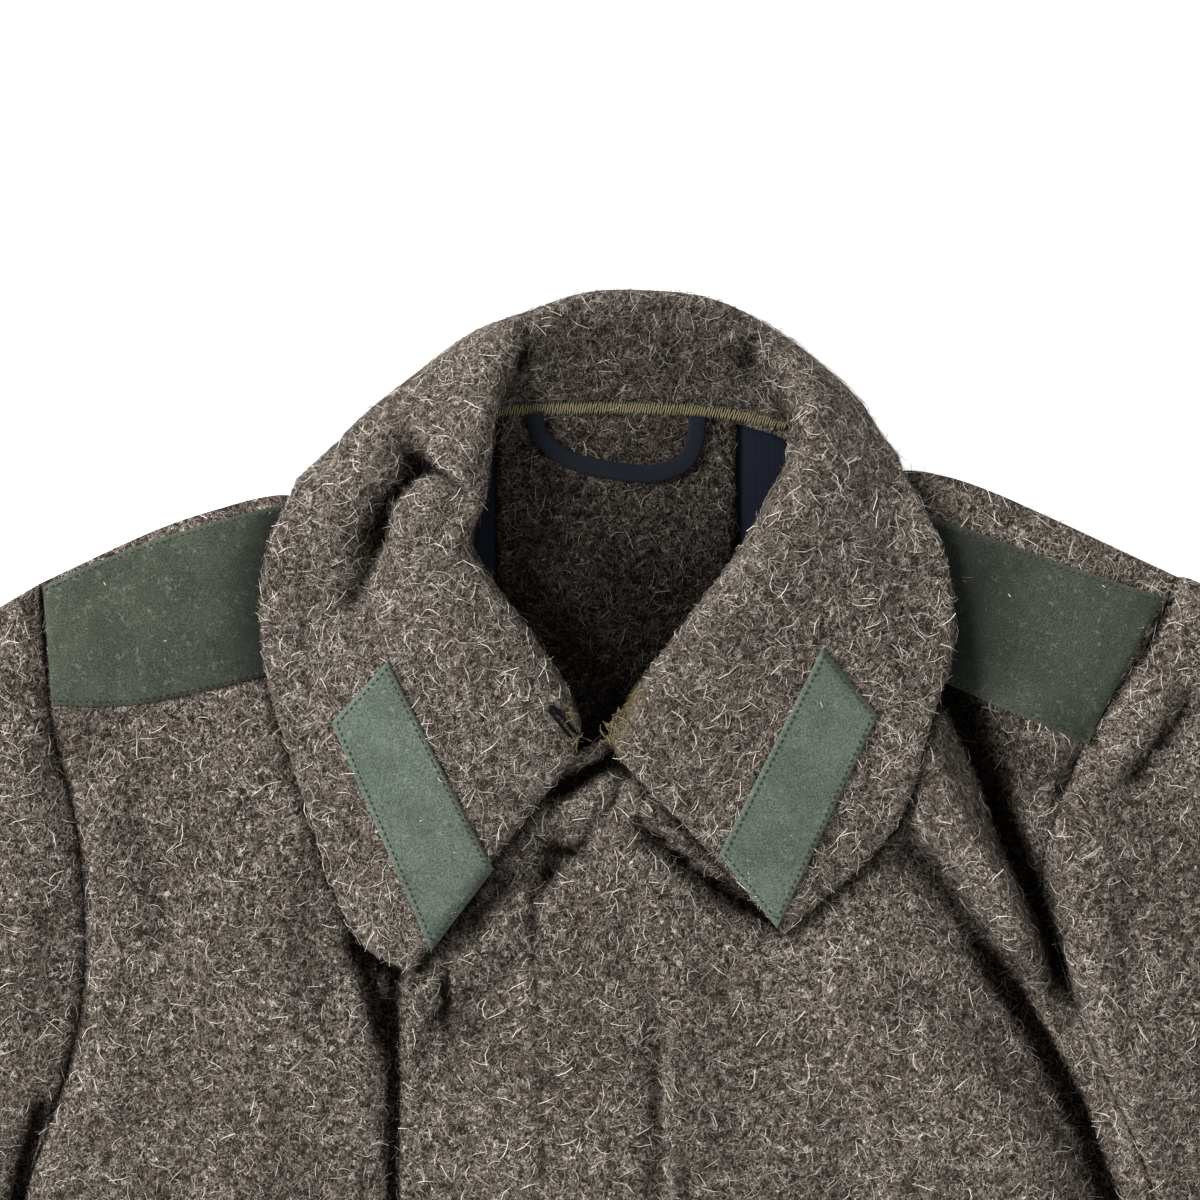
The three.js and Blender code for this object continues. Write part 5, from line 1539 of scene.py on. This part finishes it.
def make_fuzz():
    """The wool's standing fibres, as thin curled ribbons over each piece that shows."""
    fuzz = bpy.context.scene.coat.fuzz
    hairs = bpy.data.collections.new("hair_kinds")
    for kind in range(HAIR_KINDS):
        hairs.objects.link(hair_mesh(kind, fuzz.width / fuzz.length))
    tree = fuzz_tree()
    amount = fuzz.amount * 1
    for seed, (name, count) in enumerate(FUZZ_SHARES.items()):
        base = bpy.data.objects[name]
        made = add_object(name.replace("cloth", "fuzz"), base.data)
        grow(made, tree, {
            "Hairs": hairs, "Density": amount * count / weighted_area(base.data),
            "Length": fuzz.length, "Tilt": fuzz.tilt, "Seed": seed + HAIR_SEED,
            "Material": material("fibre"),
        })
        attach(made, BODY)
    for made in list(hairs.objects):
        bpy.data.objects.remove(made)
    bpy.data.collections.remove(hairs)


# ---------- materials ----------

def colour_mix(tree, factor, a, b, blend="MIX"):
    """A mix of two colours, by a socket; each may be a colour or a socket."""
    made = add_node(tree, "ShaderNodeMix", data_type="RGBA", blend_type=blend)
    sockets = {s.identifier: s for s in made.inputs}
    fill(tree, sockets["Factor_Float"], factor)
    for key, value in (("A_Color", a), ("B_Color", b)):
        linked = isinstance(value, bpy.types.NodeSocket)
        fill(tree, sockets[key], value if linked else (*value[:3], 1))
    return next(s for s in made.outputs if s.identifier == "Result_Color")


def noise(tree, vector, size, detail=2.0):
    """Noise whose features are about size millimetres wide, on coordinates in millimetres."""
    made = add_node(tree, "ShaderNodeTexNoise", {"Vector": vector, "Scale": 1 / size, "Detail": detail})
    return made.outputs[0]


def ramp(tree, value, low, high):
    """0 below low, 1 above high and smooth between."""
    made = add_node(tree, "ShaderNodeMapRange", {0: value, 1: low, 2: high},
                    interpolation_type="SMOOTHSTEP")
    return made.outputs[0]


def attribute(tree, name):
    """A number that the mesh keeps for each vertex, such as its painted shade."""
    return add_node(tree, "ShaderNodeAttribute", attribute_name=name).outputs["Fac"]


# How far the noise of a layer's gaps is moved, its scale against the strands' scale, the
# values above which strands show for a cover of none and of all, and how softly they end.
GAP_SHIFT = (91.7, 37.1, 53.3)
GAP_SCALE = 0.7
GAP_RANGE = (0.72, 0.28)
GAP_SOFTNESS = 0.06


def strand_group():
    """Short curled lines over a surface, such as fibres lying in it."""
    tree, given, result = new_tree("strands", "ShaderNodeTree", [
        ("Vector", "Vector", None), ("Size", "Float", 3.0), ("Width", "Float", 0.03), ("Cover", "Float", 0.5),
    ], [("Strands", "Float")])
    scale = maths(tree, "DIVIDE", 1.0, given["Size"])
    line = add_node(tree, "ShaderNodeTexNoise",
                    {"Vector": given["Vector"], "Scale": scale, "Detail": 1.0, "Distortion": 0.8})
    away = maths(tree, "ABSOLUTE", maths(tree, "SUBTRACT", line.outputs[0], 0.5))
    thin = ramp(tree, away, given["Width"], 0.0)
    moved = add_node(tree, "ShaderNodeVectorMath", {0: given["Vector"], 1: GAP_SHIFT}, operation="ADD")
    wide = maths(tree, "MULTIPLY", scale, GAP_SCALE)
    gaps = add_node(tree, "ShaderNodeTexNoise", {"Vector": moved.outputs[0], "Scale": wide, "Detail": 0.0})
    start = add_node(tree, "ShaderNodeMapRange",
                     {0: given["Cover"], 1: 0.0, 2: 1.0, 3: GAP_RANGE[0], 4: GAP_RANGE[1]}).outputs[0]
    shown = ramp(tree, gaps.outputs[0], start, maths(tree, "ADD", start, GAP_SOFTNESS))
    tree.links.new(maths(tree, "MULTIPLY", thin, shown), result["Strands"])
    return tree


def strands(tree, vector, size, width, cover, shift):
    """A layer of strands, moved so that no two layers match."""
    group = bpy.data.node_groups.get("strands") or strand_group()
    moved = add_node(tree, "ShaderNodeVectorMath", {0: vector, 1: (shift, -shift, shift)}, operation="ADD")
    made = add_node(tree, "ShaderNodeGroup", node_tree=group)
    given = {"Vector": moved.outputs[0], "Size": size, "Width": width, "Cover": cover}
    for key, value in given.items():
        fill(tree, made.inputs[key], value)
    return made.outputs[0]


SHEEN_ROUGHNESS = 0.6


def start_material(name, roughness, sheen=0.0, tint=(1, 1, 1), specular=0.3):
    """A material with its Principled shader and plan millimetres to work from."""
    made = bpy.data.materials.new(name)
    made.use_nodes = True
    tree = made.node_tree
    shader = tree.nodes["Principled BSDF"]
    for label, value in (
        ("Roughness", roughness), ("Specular IOR Level", specular), ("Sheen Weight", sheen),
        ("Sheen Roughness", SHEEN_ROUGHNESS), ("Sheen Tint", (*tint, 1)),
    ):
        shader.inputs[label].default_value = value
    place = add_node(tree, "ShaderNodeTexCoord").outputs["Object"]
    scaled = add_node(tree, "ShaderNodeMapping", {"Vector": place, "Scale": (1 / MM, 1 / MM, 1 / MM)})
    return made, tree, shader, scaled.outputs[0]


def bump(tree, shader, height, distance, strength=1.0):
    """Lets the height, up to distance millimetres, turn the surface's normals."""
    made = add_node(tree, "ShaderNodeBump",
                    {"Height": height, "Distance": distance * MM, "Strength": strength})
    tree.links.new(made.outputs[0], shader.inputs["Normal"])


def add_up(tree, *pairs):
    """A weighted sum of sockets."""
    total = 0.0
    for socket, weight in pairs:
        made = add_node(tree, "ShaderNodeMath", {0: socket, 1: weight, 2: total}, operation="MULTIPLY_ADD")
        total = made.outputs[0]
    return total


# Layers of strands in the wool, from the first laid to the last: size and line width in
# noise units, how much they cover, a shift that tells them apart, and their colour.
STRAND_LAYERS = (
    (3.0, 0.095, 0.9, 17.3, "wool_deep"),
    (2.4, 0.078, 0.6, 63.1, "wool_red"),
    (2.6, 0.074, 0.75, 8.9, "wool_pale"),
    (3.2, 0.078, 0.7, 29.4, "wool_deep"),
    (2.2, 0.066, 0.65, 41.9, "wool_pale"),
    (3.0, 0.05, 0.6, 77.7, "wool_light"),
)
STRAND_STRENGTH = 0.8
STAIN_STRENGTH = 0.85
SMOKE_STRENGTH = 0.55
WOOL_SHEEN = 0.15
WOOL_SHEEN_TINT = (0.62, 0.55, 0.48)
WOOL_SPECULAR = 0.12
WOOL_BUMP = 1.6


def stained_and_painted_shade(tree, base, dark):
    """A colour under the olive stain and the painted shade that the mesh keeps."""
    colours = bpy.context.scene.coat.colours
    stain = maths(tree, "MULTIPLY", attribute(tree, "stain"), STAIN_STRENGTH)
    base = colour_mix(tree, stain, base, colours.stain)
    return colour_mix(tree, dark, base, colours.shade, blend="MULTIPLY")


def wool_material():
    """Thick brushed wool: dark and light fibres felted together, with curled light hairs."""
    colours = bpy.context.scene.coat.colours
    made, tree, shader, place = start_material(
        "brushed_wool", 0.92, sheen=WOOL_SHEEN, tint=WOOL_SHEEN_TINT, specular=WOOL_SPECULAR)
    grain = noise(tree, place, 1.5, detail=4.0)
    patches = noise(tree, place, 9, detail=3.0)
    clouds = noise(tree, place, 40)
    smoky = noise(tree, place, 30, detail=4.0)
    base = colour_mix(tree, ramp(tree, grain, 0.45, 0.57), colours.wool_dark, colours.wool_mid)
    warm = maths(tree, "MULTIPLY", ramp(tree, patches, 0.46, 0.72), 0.6)
    base = colour_mix(tree, warm, base, colours.wool_red)
    dusty = maths(tree, "MULTIPLY", ramp(tree, clouds, 0.5, 0.75), 0.3)
    base = colour_mix(tree, dusty, base, colours.wool_mid)
    layers = []
    for size, width, cover, shift, tone in STRAND_LAYERS:
        layer = strands(tree, place, size, width, cover, shift)
        shown = maths(tree, "MULTIPLY", layer, STRAND_STRENGTH)
        base = colour_mix(tree, shown, base, getattr(colours, tone))
        layers.append(layer)
    smoked = maths(tree, "MULTIPLY", ramp(tree, smoky, 0.44, 0.62), SMOKE_STRENGTH)
    base = colour_mix(tree, smoked, base, colours.smoke, blend="MULTIPLY")
    dark = attribute(tree, "dark")
    tree.links.new(stained_and_painted_shade(tree, base, dark), shader.inputs["Base Color"])
    # Painted shade also takes away sheen and specular where the mesh is dark.
    for name, most in (("Sheen Weight", WOOL_SHEEN), ("Specular IOR Level", WOOL_SPECULAR)):
        tree.links.new(maths(tree, "MULTIPLY_ADD", dark, -most, most), shader.inputs[name])
    height = add_up(tree, (grain, 1.0), (noise(tree, place, 3.2), 1.0),
                    (layers[0], -0.4), (layers[-1], 0.35), (layers[-2], 0.3))
    bump(tree, shader, height, WOOL_BUMP)
    return made


def fibre_material():
    """The standing fibres, from brown to beige."""
    colours = bpy.context.scene.coat.colours
    made, tree, shader, _ = start_material("fibre", 0.75, specular=0.08)
    tone = attribute(tree, "tone")
    body = colour_mix(tree, ramp(tree, tone, 0.1, 0.6), colours.fibre_dark, colours.fibre_mid)
    base = colour_mix(tree, ramp(tree, tone, 0.62, 1.0), body, colours.fibre_light)
    # The fibres take the painted shade of the cloth they stand on.
    tree.links.new(stained_and_painted_shade(tree, base, attribute(tree, "dark")), shader.inputs["Base Color"])
    return made


FELT_SMOKE = (0.62, 0.64, 0.62)
FELT_HAIR = (0.4, 0.42, 0.36)


def felt_material(name, dark, light):
    """Dense felt with a fine hairy face and some patches of wear."""
    made, tree, shader, place = start_material(name, 0.95, sheen=0.2, tint=(0.7, 0.8, 0.7), specular=0.1)
    grain = noise(tree, place, 0.7, detail=4.0)
    wear_and_seam_shade = noise(tree, place, 9, detail=3.0)
    smoky = noise(tree, place, 20, detail=3.0)
    hairs = strands(tree, place, 3.0, 0.04, 0.45, 12.1)
    base = colour_mix(tree, ramp(tree, grain, 0.38, 0.62), dark, light)
    base = colour_mix(tree, maths(tree, "MULTIPLY", ramp(tree, wear_and_seam_shade, 0.5, 0.8), 0.5), base, light)
    smoked = maths(tree, "MULTIPLY", ramp(tree, smoky, 0.42, 0.62), 0.5)
    base = colour_mix(tree, smoked, base, FELT_SMOKE, blend="MULTIPLY")
    base = colour_mix(tree, maths(tree, "MULTIPLY", hairs, 0.2), base, FELT_HAIR)
    shade = bpy.context.scene.coat.colours.shade
    # Painted shadow: the dark number that the patches keep darkens their colour.
    base = colour_mix(tree, attribute(tree, "dark"), base, shade, blend="MULTIPLY")
    tree.links.new(base, shader.inputs["Base Color"])
    height = add_up(tree, (grain, 1.0), (wear_and_seam_shade, 0.8), (hairs, 0.3))
    bump(tree, shader, height, 0.35, 0.7)
    return made


# The wave texture's scale at which its bands are one unit apart.
WAVE_SCALE = 0.314


def weave_material(name, colour, pitch, slant, distance):
    """A woven cloth with slanted ribs, for the lining and the loop."""
    made, tree, shader, place = start_material(name, 0.8, sheen=0.04, tint=(0.5, 0.6, 0.8), specular=0.15)
    turned = add_node(tree, "ShaderNodeMapping", {"Vector": place, "Rotation": (0, 0, slant)}).outputs[0]
    ribs = add_node(tree, "ShaderNodeTexWave", {
        "Vector": turned, "Scale": WAVE_SCALE / pitch, "Distortion": 0.5, "Detail": 1.0, "Detail Scale": 2.0,
    }).outputs[1]
    grain = noise(tree, place, 0.5)
    wear_and_seam_shade = noise(tree, place, 14)
    light = tuple(2.4 * c + 0.001 for c in colour)
    shade = add_up(tree, (ribs, 0.5), (grain, 0.3), (wear_and_seam_shade, 0.3))
    base = colour_mix(tree, ramp(tree, shade, 0.25, 1.0), colour, light)
    tree.links.new(base, shader.inputs["Base Color"])
    bump(tree, shader, add_up(tree, (ribs, 1.0), (grain, 0.5)), distance, 0.8)
    return made


def thread_material(name, colour):
    """Twisted sewing thread."""
    made, tree, shader, place = start_material(name, 0.6, sheen=0.2, specular=0.3)
    twist = noise(tree, place, 0.35)
    light = tuple(min(1, 1.8 * c + 0.004) for c in colour)
    base = colour_mix(tree, ramp(tree, twist, 0.35, 0.65), colour, light)
    tree.links.new(base, shader.inputs["Base Color"])
    bump(tree, shader, twist, 0.1, 0.6)
    return made


SCRATCH_GREY = (0.05, 0.05, 0.05)


def metal_material(name, colour):
    """Glossy black paint over wire, with faint scratches."""
    made, tree, shader, place = start_material(name, 0.25, specular=0.1)
    marks = noise(tree, place, 0.9, detail=4.0)
    base = colour_mix(tree, ramp(tree, marks, 0.6, 0.75), colour, SCRATCH_GREY)
    tree.links.new(base, shader.inputs["Base Color"])
    bump(tree, shader, marks, 0.04, 0.4)
    return made


def material(name):
    """A material by name, made when it is first asked for."""
    colours = bpy.context.scene.coat.colours
    makers = {
        "brushed_wool": wool_material,
        "fibre": fibre_material,
        "tab_felt": lambda: felt_material("tab_felt", colours.tab_dark, colours.tab_light),
        "patch_felt": lambda: felt_material("patch_felt", colours.patch_dark, colours.patch_light),
        "lining": lambda: weave_material("lining", colours.lining, 0.5, 0.0, 0.12),
        "twill": lambda: weave_material("twill", colours.twill, 0.9, 0.8, 0.25),
        "black_thread": lambda: thread_material("black_thread", colours.black_thread),
        "olive_thread": lambda: thread_material("olive_thread", colours.olive_thread),
        "black_metal": lambda: metal_material("black_metal", colours.black_metal),
    }
    return bpy.data.materials.get(name) or makers[name]()


# ---------- stage ----------

# In metres. Each light's place is from the chest in plan, with its height above the floor.
FLOOR_HALF = 4.0
FLOOR_GAP = 0.0004
KEY_PLACE = (-3.6, 1.0, 2.6)
KEY_SIZE = 1.45
FILL_PLACE = (1.6, -0.6, 2.4)
FILL_SIZE = 2.0

# What the floor's darker specks keep of its colour, and the camera's sensor, in millimetres.
FLOOR_SHADE = 0.985
SENSOR_WIDTH = 36


def floor_material(stage):
    """A pale floor that glows a little and is clear when seen from below."""
    made, tree, shader, place = start_material("floor", 0.9, specular=0.1)
    speck = noise(tree, place, 240)
    pale = stage.floor_colour
    darker = tuple(FLOOR_SHADE * c for c in pale)
    tree.links.new(colour_mix(tree, speck, darker, pale), shader.inputs["Base Color"])
    shader.inputs["Emission Color"].default_value = (1, 1, 1, 1)
    shader.inputs["Emission Strength"].default_value = stage.floor_glow
    below = add_node(tree, "ShaderNodeNewGeometry").outputs["Backfacing"]
    tree.links.new(maths(tree, "SUBTRACT", 1.0, below), shader.inputs["Alpha"])
    return made


def area_light(name, place, size, power, target):
    """A round soft light that points at its target."""
    data = bpy.data.lights.new(name, "AREA")
    data.shape = "DISK"
    data.size = size
    data.energy = power
    made = add_object(name, data)
    made.location = place
    way = np.array(target) - np.array(place)
    made.rotation_euler = (
        math.atan2(math.hypot(way[0], way[1]), -way[2]), 0, math.atan2(way[0], -way[1]) + math.pi,
    )


def make_stage():
    """A pale floor, soft studio light, and a camera straight above the chest."""
    stage = bpy.context.scene.coat.stage
    half, level = FLOOR_HALF, -FLOOR_GAP
    corners = [(-half, -half, level), (half, -half, level), (half, half, level), (-half, half, level)]
    mesh = bpy.data.meshes.new("floor")
    mesh.from_pydata(corners, [], [(0, 1, 2, 3)])
    mesh.materials.append(floor_material(stage))
    floor = add_object("floor", mesh)
    chest = tuple(SHIFT[:2] * MM) + (stage.focus_height,)
    for name, (across, along, height), size, power in (
        ("key_light", KEY_PLACE, KEY_SIZE, stage.key_power),
        ("fill_light", FILL_PLACE, FILL_SIZE, stage.fill_power),
    ):
        area_light(name, (chest[0] + across, chest[1] + along, height), size, power, chest)
    world = bpy.data.worlds.new("studio")
    world.use_nodes = True
    background = world.node_tree.nodes["Background"]
    background.inputs["Color"].default_value = (1, 1, 1, 1)
    background.inputs["Strength"].default_value = stage.ambient
    bpy.context.scene.world = world
    camera = bpy.data.cameras.new("camera")
    camera.lens = stage.lens
    camera.sensor_width = SENSOR_WIDTH
    made = add_object("camera", camera)
    distance = stage.view_width * stage.lens / SENSOR_WIDTH
    made.location = (chest[0], chest[1], stage.focus_height + distance)
    bpy.context.scene.camera = made
    bpy.context.scene.view_settings.view_transform = "Standard"


# ---------- settings, operators and panel ----------

def swatch(label, text, value):
    """A colour setting."""
    return FloatVectorProperty(
        name=label, description=text, subtype="COLOR", size=3, min=0, max=1, default=value)


class ColourSettings(bpy.types.PropertyGroup):
    """The colours of the cloths, threads and hook."""
    # Painted shade: the colour that creases, seams, the collar's edge and the neck's inside are darkened
    # toward.
    shade: swatch("Shade", "What deep creases leave of the wool's colour", (0.035, 0.031, 0.028))
    wool_deep: swatch("Wool, deepest", "Between the fibres", (0.008, 0.006, 0.0045))
    wool_dark: swatch("Wool, dark", "The darker fibres of the wool", (0.008, 0.0058, 0.0042))
    wool_mid: swatch("Wool, middle", "The common fibres of the wool", (0.112, 0.090, 0.071))
    wool_red: swatch("Wool, warm", "The warmer patches of the wool", (0.070, 0.043, 0.029))
    wool_pale: swatch("Wool, pale", "The paler fibres in the wool", (0.36, 0.307, 0.258))
    wool_light: swatch("Wool, light", "The light fibres in the wool", (0.80, 0.715, 0.63))
    fibre_dark: swatch("Fibre, dark", "Standing fibres, darkest", (0.024, 0.018, 0.013))
    fibre_mid: swatch("Fibre, middle", "Standing fibres, common", (0.20, 0.166, 0.136))
    fibre_light: swatch("Fibre, light", "Standing fibres, lightest", (0.92, 0.84, 0.75))
    tab_dark: swatch("Tab, dark", "Darker fibres of the collar tabs", (0.060, 0.077, 0.060))
    tab_light: swatch("Tab, light", "Lighter fibres of the collar tabs", (0.142, 0.171, 0.138))
    patch_dark: swatch("Patch, dark", "Darker fibres of the shoulder patches", (0.027, 0.034, 0.024))
    patch_light: swatch("Patch, light", "Lighter fibres of the shoulder patches", (0.070, 0.080, 0.058))
    lining: swatch("Lining", "The cotton lining", (0.0014, 0.0028, 0.007))
    twill: swatch("Twill", "The hanger loop", (0.0022, 0.0034, 0.0058))
    black_thread: swatch("Black thread", "The running stitches", (0.004, 0.005, 0.005))
    olive_thread: swatch("Olive thread", "The overlock and the loose ends", (0.105, 0.084, 0.034))
    black_metal: swatch("Hook", "The painted wire hook", (0.003, 0.003, 0.0035))
    smoke: swatch("Smoke", "What the smoky patches leave of the wool's colour", (0.50, 0.46, 0.44))
    stain: swatch("Stain", "The olive mark on the collar's left front", (0.10, 0.075, 0.015))


class FuzzSettings(bpy.types.PropertyGroup):
    """The fibres that stand out of the wool."""
    amount: FloatProperty(
        name="Amount", description="Share of the full number of fibres", default=1.0, min=0, max=1)
    length: FloatProperty(
        name="Length", description="Usual length of a fibre", unit="LENGTH", default=0.005)
    width: FloatProperty(name="Width", description="Width of a fibre", unit="LENGTH", default=0.000118)
    tilt: FloatProperty(
        name="Tilt", description="How far fibres lean off the cloth", subtype="ANGLE", default=0.2)


class SewingSettings(bpy.types.PropertyGroup):
    """The running stitches."""
    pitch: FloatProperty(
        name="Pitch", description="From stitch to stitch", unit="LENGTH", default=0.0028)
    length: FloatProperty(
        name="Length", description="Length of a stitch", unit="LENGTH", default=0.0019)
    thickness: FloatProperty(
        name="Thickness", description="Thickness of the thread", unit="LENGTH", default=0.0008)
    unevenness: FloatProperty(
        name="Unevenness", description="How far stitches stray", subtype="ANGLE", default=0.12)


class StageSettings(bpy.types.PropertyGroup):
    """The floor, the lights and the camera."""
    floor_colour: swatch("Floor", "The pale floor", (0.93, 0.93, 0.93))
    floor_glow: FloatProperty(
        name="Floor glow", description="Light that the floor adds", default=0.75, min=0)
    key_power: FloatProperty(
        name="Key light", description="Power of the main light", unit="POWER", default=335.0)
    fill_power: FloatProperty(
        name="Fill light", description="Power of the soft light", unit="POWER", default=20.0)
    ambient: FloatProperty(
        name="Ambient", description="Strength of the even light", default=0.33, min=0)
    lens: FloatProperty(name="Lens", description="Focal length in millimetres", default=85.0, min=20)
    view_width: FloatProperty(
        name="View width", description="Width of the view at the cloth", unit="LENGTH", default=0.504)
    focus_height: FloatProperty(
        name="View height", description="Height of the cloth in view", unit="LENGTH", default=0.014)


class CoatSettings(bpy.types.PropertyGroup):
    """All the settings of the greatcoat."""
    colours: PointerProperty(type=ColourSettings)
    fuzz: PointerProperty(type=FuzzSettings)
    sewing: PointerProperty(type=SewingSettings)
    stage: PointerProperty(type=StageSettings)


class CoatStage(bpy.types.Operator):
    """Make the floor, the lights and the camera"""
    bl_idname = "coat.stage"
    bl_label = "Stage"

    def execute(self, context):
        make_stage()
        return {"FINISHED"}


class CoatBack(bpy.types.Operator):
    """Make the back"""
    bl_idname = "coat.back"
    bl_label = "Back"

    def execute(self, context):
        make_back()
        return {"FINISHED"}


class CoatFronts(bpy.types.Operator):
    """Make both fronts"""
    bl_idname = "coat.fronts"
    bl_label = "Fronts"

    def execute(self, context):
        make_fronts()
        return {"FINISHED"}


class CoatSleeves(bpy.types.Operator):
    """Make both sleeves"""
    bl_idname = "coat.sleeves"
    bl_label = "Sleeves"

    def execute(self, context):
        make_sleeves()
        return {"FINISHED"}


class CoatCollar(bpy.types.Operator):
    """Make both layers of the collar"""
    bl_idname = "coat.collar"
    bl_label = "Collar"

    def execute(self, context):
        make_collar()
        return {"FINISHED"}


class CoatTabs(bpy.types.Operator):
    """Make the felt tabs on the collar"""
    bl_idname = "coat.tabs"
    bl_label = "Collar tabs"

    def execute(self, context):
        make_tabs()
        return {"FINISHED"}


class CoatPatches(bpy.types.Operator):
    """Make the felt patches on the shoulders"""
    bl_idname = "coat.patches"
    bl_label = "Shoulder patches"

    def execute(self, context):
        make_patches()
        return {"FINISHED"}


class CoatNeckInside(bpy.types.Operator):
    """Make the facing and the lining inside the neck"""
    bl_idname = "coat.neck_inside"
    bl_label = "Inside of the neck"

    def execute(self, context):
        make_neck_inside()
        return {"FINISHED"}


class CoatLoop(bpy.types.Operator):
    """Make the hanger loop"""
    bl_idname = "coat.loop"
    bl_label = "Hanger loop"

    def execute(self, context):
        make_loop()
        return {"FINISHED"}


class CoatHook(bpy.types.Operator):
    """Make the collar's wire hook"""
    bl_idname = "coat.hook"
    bl_label = "Collar hook"

    def execute(self, context):
        make_hook()
        return {"FINISHED"}


class CoatStitches(bpy.types.Operator):
    """Sew the tabs, the patches and the neck seam"""
    bl_idname = "coat.stitches"
    bl_label = "Stitches"

    def execute(self, context):
        make_stitches()
        make_overlock()
        return {"FINISHED"}


class CoatThreads(bpy.types.Operator):
    """Make the loose ends of thread at the collar"""
    bl_idname = "coat.threads"
    bl_label = "Loose threads"

    def execute(self, context):
        make_threads()
        return {"FINISHED"}


class CoatFuzz(bpy.types.Operator):
    """Grow the wool's fibres"""
    bl_idname = "coat.fuzz"
    bl_label = "Fuzz"

    def execute(self, context):
        make_fuzz()
        return {"FINISHED"}


STEPS = (
    CoatStage, CoatBack, CoatFronts, CoatSleeves, CoatCollar, CoatTabs, CoatPatches,
    CoatNeckInside, CoatLoop, CoatHook, CoatStitches, CoatThreads, CoatFuzz,
)
SETTINGS = (ColourSettings, FuzzSettings, SewingSettings, StageSettings, CoatSettings)


class CoatPanel(bpy.types.Panel):
    """Lists the coat's pieces in the sidebar."""
    bl_idname = "VIEW3D_PT_coat"
    bl_label = "Greatcoat"
    bl_space_type = "VIEW_3D"
    bl_region_type = "UI"
    bl_category = "Coat"

    def draw(self, context):
        for step in STEPS:
            self.layout.operator(step.bl_idname)


def register():
    """Registers the settings, the operators and the panel."""
    for made in (*SETTINGS, *STEPS, CoatPanel):
        bpy.utils.register_class(made)
    bpy.types.Scene.coat = PointerProperty(type=CoatSettings)


def unregister():
    """Takes away what register added."""
    del bpy.types.Scene.coat
    for made in reversed((*SETTINGS, *STEPS, CoatPanel)):
        bpy.utils.unregister_class(made)


def main():
    """Makes every piece in order."""
    register()
    for step in STEPS:
        group, name = step.bl_idname.split(".")
        getattr(getattr(bpy.ops, group), name)()


if __name__ == "__main__":
    main()
